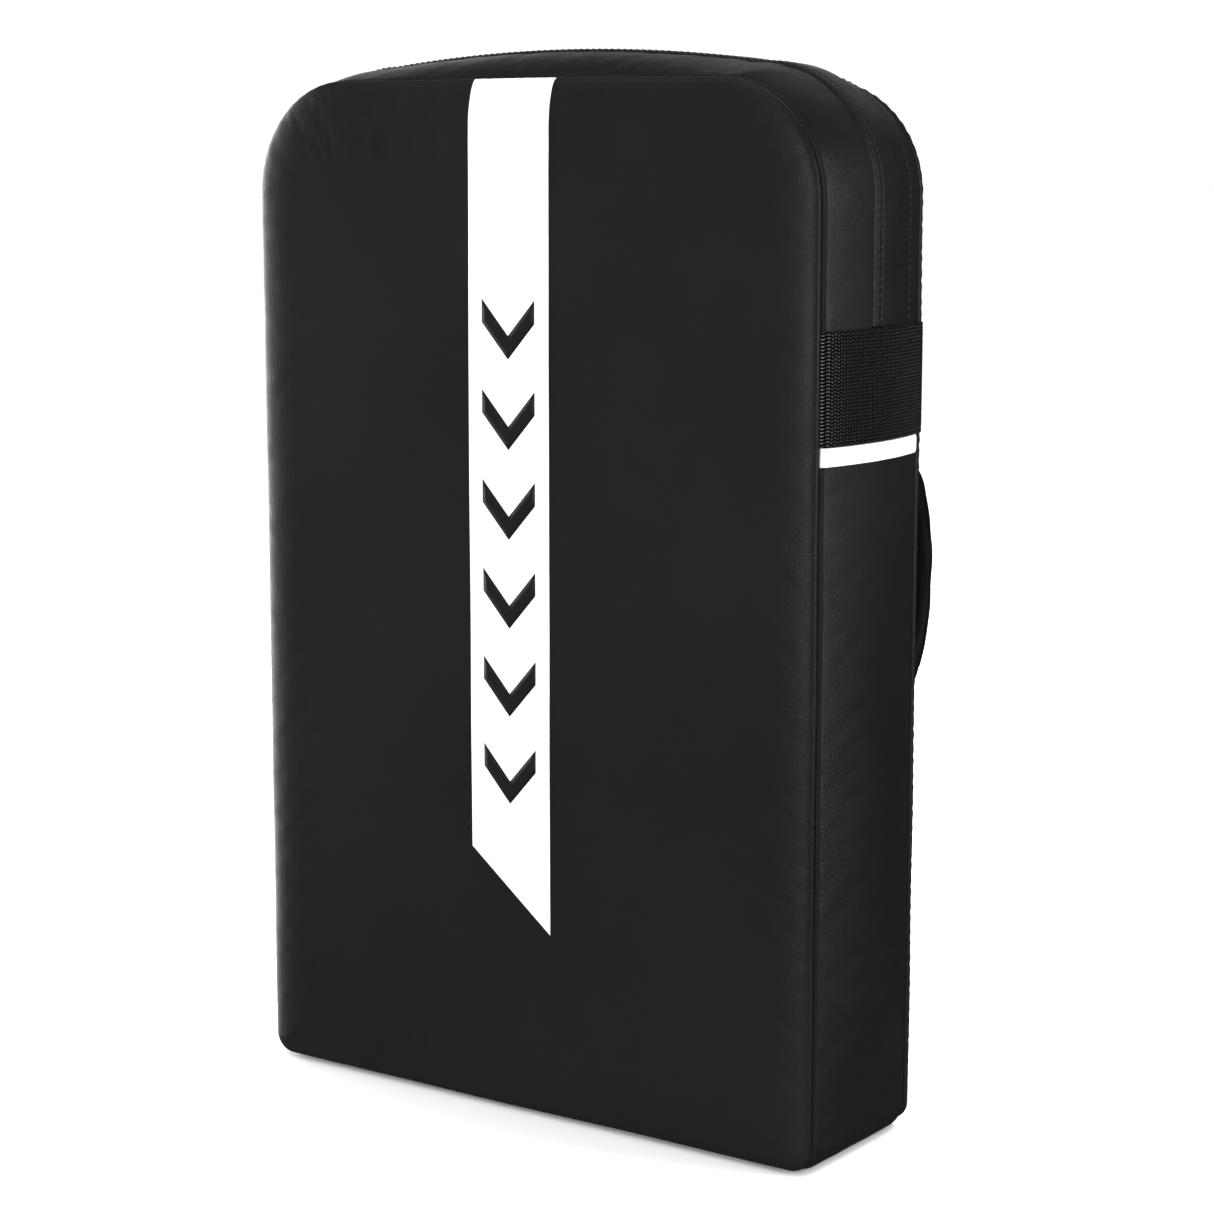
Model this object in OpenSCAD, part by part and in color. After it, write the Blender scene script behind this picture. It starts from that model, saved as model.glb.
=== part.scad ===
// Kick shield: a foam block in a sewn leather cover, with an arm strap and two grips on its back.
// +Z is up, the struck face looks along -Y, and the origin is the centre of the face it stands on.

/* [Cover] */
// Width across the side seams
seam_w = 380; // [340:5:420]
// Height of the top seam above the floor
seam_top = 584; // [520:4:640]
// Depth of the gusset, from front seam to back seam
gusset_d = 98; // [90:2:120]
// Radius of the two top corners, along the seam
top_r = 63; // [45:1:80]
// Radius of the two bottom corners, along the seam
base_r = 12; // [10:1:16]
// Thickness of the leather
leather = 1.5; // [1.2:0.1:1.6]

/* [Shape of the filled cover] */
// How far the front panel stands ahead of its seam
front_bulge = 11; // [8:1:14]
// Width of the front panel's rounded edge
front_round = 27; // [18:1:32]
// How far the back panel stands behind its seam
back_bulge = 6; // [5:1:8]
// Width of the back panel's rounded edge
back_round = 12; // [10:1:14]
// How far the middle of the top of the gusset bows up between the seams
top_crown = 16; // [8:1:20]
// How far each side of the gusset bows out between the seams
side_crown = 6; // [5:0.5:8]
// How far the bottom of the gusset sags below its seams
base_crown = 2; // [2:0.5:3]

/* [Stripe] */
// Width of the white stripe
stripe_w = 55; // [30:1:80]
// Sideways place of the stripe's centre line
stripe_x = -4; // [-60:1:60]
// Height of the stripe's slanted end, at its right edge
stripe_z0 = 110; // [60:5:200]
// How much higher the slanted end is at the stripe's left edge
stripe_slant = 44; // [0:1:60]
// Number of chevrons printed on the stripe
mark_count = 6; // [0:1:6]

/* [Straps and grips] */
// Width of the arm strap's webbing
strap_w = 60; // [50:1:60]
// Height of the arm strap's lower edge
strap_z = 394; // [394:1:410]
// Thickness of all webbing
webbing_t = 1.8; // [1.5:0.1:2]
// Standoff of the arm strap from the flat of the back panel
strap_rise = 39; // [36:1:50]
// Width of the white trim under each end of the arm strap
trim_w = 10; // [6:1:10]
// Sideways place of each grip
grip_x = 161; // [150:1:161]
// Height of the middle of each grip
grip_z = 309; // [290:1:309]
// Half the length of each grip's loop
grip_half = 77; // [70:1:77]
// Standoff of the middle of each grip's webbing from its sewn foot
grip_rise = 39; // [30:1:42]
// Width of each grip's webbing
grip_w = 25; // [20:1:25]

/* [Zip] */
// Depth of the zip's centre line, from the middle of the gusset
zip_y = 6; // [5:0.5:7]
// Height at which the zip starts, on the left side
zip_start = 456; // [456:1:460]
// Height at which the flap over the zip starts, on the left side
flap_start = 505; // [503:1:510]

/* [Hidden] */

BLACK = [0.10, 0.10, 0.11];
WEBBING_BLACK = [0.05, 0.05, 0.055];
WHITE = [0.95, 0.95, 0.95];
FOAM_WHITE = [0.88, 0.88, 0.84];
FOAM_GREY = [0.45, 0.46, 0.48];
METAL_BLACK = [0.16, 0.16, 0.17];

RIGHT = 1;
LEFT = -1;

half_w = seam_w / 2;
seam_bottom = base_crown;
half_d = gusset_d / 2;
front_y = -half_d - front_bulge;
back_y = half_d + back_bulge;

gap = 0.3;                       // between pieces that lie on each other
seam_gap = 0.6;                  // between the two edges that meet at a seam
edge_y = half_d - seam_gap / 2;  // where a gusset panel ends at a seam

top_steps = 10;                  // facets of a top corner
top_marks = [0.17, 0.33, 0.5, 0.67, 0.83]; // extra places along the top, where the crown changes
top_share = 0.2;                 // share of the top's crown that is left where the corners start
base_steps = 4;                  // facets of a bottom corner
side_marks = [0.03, 0.08, 0.15]; // extra places up a side, where the bow of the gusset grows
side_ramp = 90;                  // height over which that bow grows from nothing
base_flat = 42;                  // half depth of the flat that the shield stands on
gusset_ys = [-edge_y, -46, -base_flat, -30, -15, 0, 15, 30, base_flat, 46, edge_y];

join_z = strap_z + strap_w / 2;  // the gusset's panels meet under the arm strap

tape_t = 0.6;
tape_w = 12;                     // reach of each tape from the zip's centre line
coil_w = 2.4;
coil_gap = 0.6;                  // half the gap between the two coils
coil_proud = 0.2;
zip_gap = 5;                     // half the slot that the zip fills
front_tape_ys = [zip_y - tape_w, zip_y - zip_gap, zip_y - coil_gap];
rear_tape_ys = [zip_y + coil_gap, zip_y + zip_gap, zip_y + tape_w];
stop_t = 1.5;
stop_w = 7.2;
stop_h = 0.7;
flap_t = 1.2;
flap_front = 15.5;               // reach of the flap from the zip's centre line, each way
flap_back = 8;

slider_z = 461;                  // lowest place of the slider's lower end
slider_len = 11;
slider_w = 9.2;
slider_outer = [0.7, 2];         // its outer plate, measured outwards from the zip's face
slider_inner = [-3.5, -2.5];     // its inner plate
slider_inner_w = 8;
slider_flange = [-1.1, 0.8];     // the flanges along its edges
slider_flange_t = 0.7;           // thickness of those, and of the wedge between the coils
slider_wedge_len = 4.5;
lug_t = 1;                       // the two lugs that hold the pull's pin
lug_h = 2.4;
lug_gap = 4.4;
lug_reach = 0.8;                 // how far the lugs reach past the middle of the pin
pin_x = 3.7;
pin_z = 5.2;
pin_r = 0.6;
pin_play = 0.08;
pull_t = 1.2;
pull_len = 20;
pull_tab_w = 6;
pull_neck_w = 3.8;
pull_neck_len = 7.5;
pull_eye_r = 1.3;
pull_hole_r = 1.6;
pull_hole_edge = 4;              // the hole's middle above the tab's lower end
pull_lap = 0.5;                  // how far the neck runs into the tab

foam_inset = leather + 2.7;      // room for the zip's slider between cover and foam
panel_foam_inset = leather + 0.7;
core_half = 29.8;                // half the thickness of the core foam
layer_gap = 0.2;                 // between foam layers
binding_w = 8;                   // width of the bound seam allowance
binding_t = 2.2;
binding_in = leather + gap;
groove_in = binding_in + binding_w + 1;
groove_half = binding_t / 2 + 0.8;

print_t = 0.4;
print_gap = 0.1;

reinforcement_w = 34;
reinforcement_t = 1;
reinforcement_z = [170, 462];
foot_y = back_y + gap + reinforcement_t + print_gap;
foot_len = 42;
strap_y = foot_y + webbing_t + gap;
strap_foot_x = 150;              // middle of the strap's sewn foot
strap_lift = [135, 85];          // where the strap leaves the back, and where it is straight again
pad_len = 160;
pad_w = 74;
pad_t = 15;
pad_r = 6;
pad_cover_t = 1.2;
grip_power = 2.7;                // how square the grip's arch is
grip_pad_half = 58;              // half the length of the grip's padded bar
grip_a = 14;                     // half width and half thickness of the grip's padded bar
grip_b = 10;
grip_cover_t = 1.2;
grip_end_taper = 0.45;
grip_end_power = 8;              // how sharply the bar's ends draw in

trim_t = 1;
edge_angles = [0 : 15 : 90];     // facets of a panel's rounded edge
margin = 5;                      // how far a cutting shape reaches past what it cuts

// ---- Outline of the seams ----

function smooth(t) = let (u = min(max(t, 0), 1)) u * u * (3 - 2 * u);

function reversed(list) = [for (i = [len(list) - 1 : -1 : 0]) list[i]];

// Points of an arc, each with its outward normal: [x, z, normal x, normal z]
function arc(cx, cz, r, from, to, steps) = [
    for (i = [0 : steps])
        let (a = from + (to - from) * i / steps)
        [cx + r * cos(a), cz + r * sin(a), cos(a), sin(a)]
];

// The seam outline, drawn in by inset, anticlockwise from the bottom right corner
function outline(inset) =
    let (
        w = half_w - inset,
        z0 = seam_bottom + inset,
        z1 = seam_top - inset,
        rt = max(top_r - inset, 1),
        rb = max(base_r - inset, 1)
    )
    concat(
        arc(w - rb, z0 + rb, rb, -90, 0, base_steps),
        [for (f = side_marks) [w, z0 + rb + (z1 - rt - z0 - rb) * f, 1, 0]],
        arc(w - rt, z1 - rt, rt, 0, 90, top_steps),
        [for (f = top_marks) [(w - rt) * (1 - 2 * f), z1, 0, 1]],
        arc(rt - w, z1 - rt, rt, 90, 180, top_steps),
        [for (f = reversed(side_marks)) [-w, z0 + rb + (z1 - rt - z0 - rb) * f, -1, 0]],
        arc(rb - w, z0 + rb, rb, 180, 270, base_steps)
    );

// How far the gusset bows out at a place on the outline
function crown(s) =
    let (
        up = max(s[3], 0),
        down = max(-s[3], 0),
        along = min(abs(s[0]) / (half_w - top_r), 1),
        arch = 1 - (1 - top_share) * pow(along, 2)
    )
    side_crown * smooth((s[1] - seam_bottom) / side_ramp) * (1 - down)
        + (top_crown - side_crown) * arch * up * sqrt(up)
        + base_crown * down;

// Share of that bow at depth y: rounded at the sides and top, flat underneath
function bow(s, y) =
    let (
        down = max(-s[3], 0),
        round = 1 - pow(y / half_d, 2),
        flat = smooth((half_d - abs(y)) / (half_d - base_flat))
    )
    round * (1 - down) + flat * down;

// A point on the gusset at depth y, sunk by t below its outer face
function gusset_point(s, y, t) =
    let (out = crown(s) * bow(s, y) - t)
    [s[0] + s[2] * out, y, s[1] + s[3] * out];

function lower_run() =
    let (all = outline(0))
    concat(
        [[-half_w, join_z - gap, -1, 0]],
        [for (s = all) if (s[0] < 0 && s[1] < join_z) s],
        [for (s = all) if (s[0] > 0 && s[1] < join_z) s],
        [[half_w, join_z - gap, 1, 0]]
    );

function upper_run(z_right, z_left) =
    concat(
        [[half_w, z_right, 1, 0]],
        [for (s = outline(0)) if (s[1] >= seam_top - top_r) s],
        [[-half_w, z_left, -1, 0]]
    );

// The gusset's side seen from above, from the front seam towards the back: [x, y]
function side_path(to_y) = [
    for (y = [-edge_y : edge_y / 6 : to_y])
        [half_w + side_crown * (1 - pow(y / half_d, 2)) + gap, y]
];

// ---- Solids from rings ----

// A solid through equal rings of points, capped at both ends or closed on itself
module loft(rings, closed = false) {
    n = len(rings[0]);
    m = len(rings);
    walls = [
        for (j = [0 : m - (closed ? 1 : 2)], i = [0 : n - 1])
            let (a = j * n, b = ((j + 1) % m) * n, k = (i + 1) % n)
            each [[a + i, b + i, b + k], [a + i, b + k, a + k]]
    ];
    caps = closed ? [] : [
        [for (i = [0 : n - 1]) i],
        [for (i = [n - 1 : -1 : 0]) (m - 1) * n + i]
    ];
    polyhedron([for (r = rings) each r], concat(walls, caps), convexity = 10);
}

// A strip of the gusset along a run of the outline, over the depths ys, between two sinks
module gusset_strip(run, ys, t_out, t_in) {
    loft([
        for (s = run)
            concat(
                [for (y = ys) gusset_point(s, y, t_out)],
                [for (y = reversed(ys)) gusset_point(s, y, t_in)]
            )
    ]);
}

function ring(inset, y) = [for (s = outline(inset)) [s[0], y, s[1]]];

// How far a panel's rounded edge stands from the middle of the gusset, at angle a round it
function edge_reach(bulge, t, a) = half_d + seam_gap / 2 + (bulge - seam_gap / 2 - t) * sin(a);

// Rings of that edge, from its seam to its flat, with t taken off its outer face
function edge_rings(toward, round, bulge, t, angles = edge_angles) = [
    for (a = angles) ring(t + (round - t) * (1 - cos(a)), toward * edge_reach(bulge, t, a))
];

// toward is -1 for the front and 1 for the back
module panel(toward, round, bulge) {
    inner = edge_rings(toward, round, bulge, leather);
    outer = edge_rings(toward, round, bulge, 0);
    rings = concat(reversed(inner), outer);
    loft(toward > 0 ? rings : reversed(rings));
}

// ---- Ribbons of webbing along a flat path ----

function path_normal(path, i) =
    let (d = path[min(i + 1, len(path) - 1)] - path[max(i - 1, 0)])
    [d[1], -d[0]] / norm(d);

function path_offset(path, out) = [
    for (i = [0 : len(path) - 1]) path[i] + out * path_normal(path, i)
];

module ribbon(path, from, to) {
    polygon(concat(path_offset(path, to), reversed(path_offset(path, from))));
}

// Right half of the arm strap's inner face, seen from above: [x, y] from the front seam inwards
function strap_half() =
    let (
        round_x = back_round + gap,
        round_y = strap_y - half_d,
        lift = strap_rise - (strap_y - back_y)
    )
    concat(
        side_path(half_d - 5),
        [for (a = [0 : 15 : 90]) [half_w - back_round + round_x * cos(a), half_d + round_y * sin(a)]],
        [[strap_foot_x, strap_y]],
        [for (u = [0 : 0.1 : 1.01])
            [strap_lift[0] + (strap_lift[1] - strap_lift[0]) * u, strap_y + lift * smooth(u)]]
    );

function strap_path() = concat(strap_half(), [for (p = reversed(strap_half())) [-p[0], p[1]]]);

// A grip's webbing, seen from the side: [y, z] from the lower foot to the upper one
function grip_y(z) =
    foot_y + grip_rise * (1 - pow(min(abs(z - grip_z) / grip_half, 1), grip_power));

function grip_path() = concat(
    [[foot_y, grip_z - grip_half - foot_len]],
    [for (u = [-1 : 0.1 : 1.01]) [grip_y(grip_z + grip_half * u), grip_z + grip_half * u]],
    [[foot_y, grip_z + grip_half + foot_len]]
);

// ---- Cover ----

module front_panel() {
    color(BLACK) panel(-1, front_round, front_bulge);
}

module back_panel() {
    color(BLACK) panel(1, back_round, back_bulge);
}

module lower_gusset() {
    color(BLACK) gusset_strip(lower_run(), gusset_ys, 0, leather);
}

module upper_gusset_front() {
    ys = [-edge_y, -40, -30, -20, -12, zip_y - tape_w, zip_y - zip_gap];
    color(BLACK) gusset_strip(upper_run(join_z, join_z), ys, 0, leather);
}

module upper_gusset_rear() {
    ys = [zip_y + zip_gap, zip_y + tape_w, 30, 40, edge_y];
    color(BLACK) gusset_strip(upper_run(join_z, join_z), ys, 0, leather);
}

module seam_binding(y) {
    corners = [
        [binding_in, y - binding_t / 2],
        [binding_in, y + binding_t / 2],
        [binding_in + binding_w, y + binding_t / 2],
        [binding_in + binding_w, y - binding_t / 2]
    ];
    loft([for (c = corners) ring(c[0], c[1])], closed = true);
}

module front_seam_binding() {
    color(WEBBING_BLACK) seam_binding(-half_d);
}

module back_seam_binding() {
    color(WEBBING_BLACK) seam_binding(half_d);
}

// ---- Stripe ----

// Side view of a skin on the front panel, standing off from `from` to `to`: [y, z]
module front_skin_profile(from, to) {
    function edge(out) = [
        for (a = edge_angles)
            [-edge_reach(front_bulge, -out, a), seam_top - front_round + (front_round + out) * cos(a)]
    ];
    polygon(concat(
        edge(to),
        [[front_y - to, 0], [front_y - from, 0]],
        reversed(edge(from))
    ));
}

module front_stripe() {
    left = stripe_x - stripe_w / 2;
    right = stripe_x + stripe_w / 2;
    color(WHITE)
    intersection() {
        translate([left, 0, 0])
        rotate([90, 0, 90])
        linear_extrude(stripe_w)
        front_skin_profile(print_gap, print_gap + print_t);

        translate([0, -half_d, 0])
        rotate([90, 0, 0])
        linear_extrude(front_bulge + margin)
        polygon([
            [left, stripe_z0 + stripe_slant],
            [right, stripe_z0],
            [right, seam_top + margin],
            [left, seam_top + margin]
        ]);
    }
}

module stripe_marks() {
    mark_w = stripe_w * 0.66;
    mark_h = 13;
    mark_drop = 20;
    mark_pitch = 50;
    mark_z0 = stripe_z0 + stripe_slant + 28;
    mark_y = front_y - 2 * print_gap - print_t;
    color(BLACK)
    for (i = [0 : mark_count - 1])
        translate([stripe_x, mark_y, mark_z0 + i * mark_pitch])
        rotate([90, 0, 0])
        linear_extrude(print_t)
        polygon([
            [0, 0], [mark_w / 2, mark_drop], [mark_w / 2, mark_drop + mark_h],
            [0, mark_h], [-mark_w / 2, mark_drop + mark_h], [-mark_w / 2, mark_drop]
        ]);
}

// ---- Zip ----

function zip_run() = upper_run(strap_z + strap_w + 2, zip_start);

module zip_flap() {
    run = upper_run(strap_z + strap_w + 1, flap_start);
    ys = [zip_y - flap_front, zip_y - zip_gap, zip_y + 2, zip_y + flap_back];
    color(BLACK) gusset_strip(run, ys, -gap - flap_t, -gap);
}

// The tapes close the gusset's slot, so they also run on under the arm strap
module zip_tape(ys) {
    run = upper_run(join_z + gap, join_z + gap);
    sink = leather + print_gap;
    color(WEBBING_BLACK) gusset_strip(run, ys, sink, sink + tape_t);
}

module zip_tape_front() {
    zip_tape(front_tape_ys);
}

module zip_tape_rear() {
    zip_tape(rear_tape_ys);
}

module zip_coil(sign) {
    near = zip_y + sign * coil_gap;
    far = zip_y + sign * (coil_gap + coil_w);
    color(METAL_BLACK)
    gusset_strip(zip_run(), [min(near, far), max(near, far)], -coil_proud, leather);
}

module zip_coil_front() {
    zip_coil(-1);
}

module zip_coil_rear() {
    zip_coil(1);
}

// Limits w apart, centred on a place
function about(place, w) = [place - w / 2, place + w / 2];

// A block between two limits along each axis
module block(x, y, z) {
    translate([x[0], y[0], z[0]])
    cube([x[1] - x[0], y[1] - y[0], z[1] - z[0]]);
}

// A round bar along Y, centred on the pull's pin
module cross_bar(r, len) {
    translate([pin_x, len / 2, pin_z])
    rotate([90, 0, 0])
    cylinder(h = len, r = r, $fn = 32);
}

// Puts a piece on the zip's centre line at height z, with its +X outwards from the zip's face
module on_zip(sign, z) {
    face = half_w + side_crown * (1 - pow(zip_y / half_d, 2));
    translate([sign * face, zip_y, z])
    mirror([sign < 0 ? 1 : 0, 0, 0])
    children();
}

module zip_stops() {
    color(METAL_BLACK)
    for (sign = [LEFT, RIGHT])
        on_zip(sign, strap_z + strap_w + 1)
        block([-stop_t, 0], about(0, stop_w), [0, stop_h]);
}

module zip_slider() {
    weld = 0.1; // pieces of one casting reach into each other by this
    color(METAL_BLACK)
    on_zip(LEFT, slider_z) {
        block(slider_outer, about(0, slider_w), [0, slider_len]);
        block(slider_inner, about(0, slider_inner_w), [0, slider_len]);
        block(
            [slider_inner[1] - weld, slider_outer[0] + weld],
            about(0, slider_flange_t),
            [slider_len - slider_wedge_len, slider_len]
        );
        for (sign = [LEFT, RIGHT]) {
            block(
                slider_flange,
                about(sign * (slider_w - slider_flange_t) / 2, slider_flange_t),
                [0, slider_len]
            );
            block(
                [slider_outer[1] - weld, pin_x + lug_reach],
                about(sign * (lug_gap + lug_t) / 2, lug_t),
                about(pin_z, lug_h)
            );
        }
        cross_bar(pin_r, lug_gap + 4 * weld);
    }
}

module zip_pull() {
    flat = about(pin_x, pull_t);
    tab_top = pin_z - pull_neck_len;
    color(METAL_BLACK)
    on_zip(LEFT, slider_z)
    difference() {
        union() {
            cross_bar(pull_eye_r, pull_neck_w);
            block(flat, about(0, pull_neck_w), [tab_top, pin_z]);
            block(flat, about(0, pull_tab_w), [pin_z - pull_len, tab_top + pull_lap]);
        }
        cross_bar(pin_r + pin_play, 2 * margin);
        translate([pin_x - margin, 0, pin_z - pull_len + pull_hole_edge])
        rotate([0, 90, 0])
        cylinder(h = 2 * margin, r = pull_hole_r, $fn = 24);
    }
}

// ---- Foam ----

// A ring that follows the bowed gusset at depth y
function filled_ring(y) = [for (s = outline(0)) gusset_point(s, y, foam_inset)];

function groove_rings(toward) = [
    ring(groove_in, toward * (half_d + groove_half)),
    ring(groove_in, toward * (half_d - groove_half)),
    filled_ring(toward * (half_d - groove_half))
];

module end_foam(toward, round, bulge) {
    cap = edge_rings(toward, round, bulge, panel_foam_inset, [20, 38, 56, 73, 90]);
    deep = core_half + layer_gap;
    rings = concat(
        reversed(cap),
        groove_rings(toward),
        [for (y = [40, deep]) filled_ring(toward * y)]
    );
    loft(toward < 0 ? rings : reversed(rings));
}

module strike_foam() {
    color(FOAM_GREY) end_foam(-1, front_round, front_bulge);
}

module back_foam() {
    color(FOAM_GREY) end_foam(1, back_round, back_bulge);
}

module core_foam() {
    color(FOAM_WHITE)
    loft([for (y = [-core_half, -15, 0, 15, core_half]) filled_ring(y)]);
}

// ---- Arm strap ----

module arm_strap() {
    color(WEBBING_BLACK)
    translate([0, 0, strap_z])
    linear_extrude(strap_w)
    ribbon(strap_path(), 0, webbing_t);
}

module rounded_rect(w, h, r) {
    square([w - 2 * r, h], center = true);
    square([w, h - 2 * r], center = true);
    for (x = [r - w / 2, w / 2 - r], y = [r - h / 2, h / 2 - r])
        translate([x, y]) circle(r = r, $fn = 32);
}

// A bar along X, round the straight middle of the arm strap
module pad_bar(len, w, t, r) {
    y = back_y + strap_rise + webbing_t / 2;
    translate([-len / 2, y, strap_z + strap_w / 2])
    rotate([90, 0, 90])
    linear_extrude(len)
    rounded_rect(t, w, r);
}

module pad_slot() {
    pad_bar(pad_len + 2 * margin, strap_w + 2 * gap, webbing_t + 2 * gap, 0.4);
}

// The arm pad with a skin of thickness t taken off all round
module pad_block(t) {
    pad_bar(pad_len - 2 * t, pad_w - 2 * t, pad_t - 2 * t, pad_r - t);
}

module arm_pad_cover() {
    color(BLACK)
    difference() {
        pad_block(0);
        pad_block(pad_cover_t);
        pad_slot();
    }
}

module arm_pad_foam() {
    color(FOAM_GREY)
    difference() {
        pad_block(pad_cover_t + gap);
        pad_slot();
    }
}

module white_trim(sign) {
    color(WHITE)
    mirror([sign < 0 ? 1 : 0, 0, 0])
    translate([0, 0, strap_z - gap - trim_w])
    linear_extrude(trim_w)
    ribbon(side_path(edge_y + 0.01), 0, trim_t);
}

module white_trim_right() {
    white_trim(RIGHT);
}

module white_trim_left() {
    white_trim(LEFT);
}

// ---- Grips ----

module reinforcement(sign) {
    color(BLACK)
    translate([sign * grip_x - reinforcement_w / 2, back_y + gap, reinforcement_z[0]])
    cube([reinforcement_w, reinforcement_t, reinforcement_z[1] - reinforcement_z[0]]);
}

module reinforcement_right() {
    reinforcement(RIGHT);
}

module reinforcement_left() {
    reinforcement(LEFT);
}

module grip_webbing(sign) {
    color(WEBBING_BLACK)
    translate([sign * grip_x - grip_w / 2, 0, 0])
    rotate([90, 0, 90])
    linear_extrude(grip_w)
    ribbon(grip_path(), 0, webbing_t);
}

module grip_webbing_right() {
    grip_webbing(RIGHT);
}

module grip_webbing_left() {
    grip_webbing(LEFT);
}

// An oval bar along the grip's webbing, with its ends drawn in
module grip_bar(sign, a, b, half) {
    steps = 12;
    sides = 24;
    loft([
        for (j = [-steps : 2 : steps])
            let (
                u = j / steps,
                z = grip_z + half * u,
                slope = (grip_y(z + 1) - grip_y(z - 1)) / 2,
                n = [1, -slope] / norm([1, slope]),
                k = sqrt(1 - grip_end_taper * pow(abs(u), grip_end_power))
            )
            [for (i = [0 : sides - 1])
                let (t = 360 * i / sides, out = webbing_t / 2 + k * b * sin(t))
                [sign * grip_x + k * a * cos(t), grip_y(z) + out * n[0], z + out * n[1]]]
    ]);
}

module grip_slot(sign) {
    translate([sign * grip_x - grip_w / 2 - gap, 0, 0])
    rotate([90, 0, 90])
    linear_extrude(grip_w + 2 * gap)
    ribbon(grip_path(), -gap, webbing_t + gap);
}

module grip_cover(sign) {
    color(BLACK)
    difference() {
        grip_bar(sign, grip_a, grip_b, grip_pad_half);
        grip_bar(sign, grip_a - grip_cover_t, grip_b - grip_cover_t, grip_pad_half - grip_cover_t);
        grip_slot(sign);
    }
}

module grip_cover_right() {
    grip_cover(RIGHT);
}

module grip_cover_left() {
    grip_cover(LEFT);
}

module grip_foam(sign) {
    shrink = grip_cover_t + gap;
    color(FOAM_GREY)
    difference() {
        grip_bar(sign, grip_a - shrink, grip_b - shrink, grip_pad_half - shrink);
        grip_slot(sign);
    }
}

module grip_foam_right() {
    grip_foam(RIGHT);
}

module grip_foam_left() {
    grip_foam(LEFT);
}

front_panel();
front_stripe();
stripe_marks();
back_panel();
lower_gusset();
upper_gusset_front();
upper_gusset_rear();
zip_flap();
zip_tape_front();
zip_tape_rear();
zip_coil_front();
zip_coil_rear();
zip_stops();
zip_slider();
zip_pull();
strike_foam();
core_foam();
back_foam();
front_seam_binding();
back_seam_binding();
arm_strap();
arm_pad_cover();
arm_pad_foam();
white_trim_right();
white_trim_left();
reinforcement_right();
reinforcement_left();
grip_webbing_right();
grip_webbing_left();
grip_cover_right();
grip_cover_left();
grip_foam_right();
grip_foam_left();
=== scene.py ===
"""Kick shield: the looks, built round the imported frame. Metres, +Z up, the struck face towards -Y."""
import math

import bpy
import numpy as np
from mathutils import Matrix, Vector


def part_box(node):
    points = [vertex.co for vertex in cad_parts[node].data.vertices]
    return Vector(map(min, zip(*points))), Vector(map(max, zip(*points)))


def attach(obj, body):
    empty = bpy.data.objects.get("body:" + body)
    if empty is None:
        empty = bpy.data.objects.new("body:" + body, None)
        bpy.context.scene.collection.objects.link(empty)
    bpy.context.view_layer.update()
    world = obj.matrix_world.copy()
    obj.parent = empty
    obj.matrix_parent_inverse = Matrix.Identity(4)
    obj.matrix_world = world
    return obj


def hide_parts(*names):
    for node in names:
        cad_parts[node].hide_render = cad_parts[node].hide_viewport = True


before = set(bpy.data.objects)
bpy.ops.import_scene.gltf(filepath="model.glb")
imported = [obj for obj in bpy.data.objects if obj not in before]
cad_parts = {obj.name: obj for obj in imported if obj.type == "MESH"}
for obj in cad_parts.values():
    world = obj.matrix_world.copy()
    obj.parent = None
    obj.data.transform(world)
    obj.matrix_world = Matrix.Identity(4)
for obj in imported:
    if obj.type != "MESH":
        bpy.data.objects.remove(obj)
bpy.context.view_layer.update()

MM = 0.001
GAP = 0.3 * MM             # between pieces that lie on each other
INSIDE = (0, 0, 0.3)       # a point in the middle of the foam

# ---- sizes from the frame

front_lo, front_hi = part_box("front_panel")
lower_lo, lower_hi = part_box("lower_gusset")
strap_lo, strap_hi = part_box("arm_strap")
flap_lo, flap_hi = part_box("zip_flap")
grip_lo, grip_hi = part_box("grip_webbing_right")
bar_lo, bar_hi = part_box("grip_cover_right")
pad_lo, pad_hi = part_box("arm_pad_cover")
trim_lo, trim_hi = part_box("white_trim_right")
patch_lo, patch_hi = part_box("reinforcement_right")
stripe_lo, stripe_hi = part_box("front_stripe")

HALF_W = front_hi.x
SEAM_BOTTOM = front_lo.z
SEAM_TOP = front_hi.z
FRONT_Y = front_lo.y
BACK_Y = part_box("back_panel")[1].y
HALF_D = lower_hi.y + GAP
SIDE_CROWN = lower_hi.x - HALF_W
TOP_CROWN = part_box("upper_gusset_front")[1].z - SEAM_TOP
BASE_CROWN = SEAM_BOTTOM - lower_lo.z
JOIN_Z = (strap_lo.z + strap_hi.z) / 2
ZIP_Y = (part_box("zip_slider")[0].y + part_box("zip_slider")[1].y) / 2
ZIP_START = strap_hi.z + 2 * MM
FLAP_START = 505 * MM

# The shapes that a node's box doesn't tell, as part.scad has them
TOP_R = 63 * MM
BASE_R = 12 * MM
FRONT_ROUND = 27 * MM
BACK_ROUND = 12 * MM
BASE_FLAT = 42 * MM
SIDE_RAMP = 90 * MM
TOP_SHARE = 0.2
ZIP_GAP = 5 * MM
GRIP_POWER = 2.7
STRIPE_SLANT = 44 * MM
LEATHER = 1.2 * MM

# ---- camera


def aim(obj, target):
    obj.rotation_euler = (Vector(target) - obj.location).to_track_quat("-Z", "Y").to_euler()


def make_camera(azimuth, elevation, distance, target, lens):
    a, e = math.radians(azimuth), math.radians(elevation)
    back = Vector((math.sin(a) * math.cos(e), -math.cos(a) * math.cos(e), math.sin(e)))
    camera = bpy.data.objects.new("camera", bpy.data.cameras.new("camera"))
    camera.location = Vector(target) + back * distance
    camera.data.lens = lens
    bpy.context.collection.objects.link(camera)
    aim(camera, target)
    bpy.context.scene.camera = camera


make_camera(azimuth=35.45, elevation=9.18, distance=1.67, target=(0.013, 0.008, 0.2867), lens=86.35)

# ---- small mathematics


def smooth(u):
    u = np.clip(u, 0, 1)
    return u * u * (3 - 2 * u)


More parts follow.
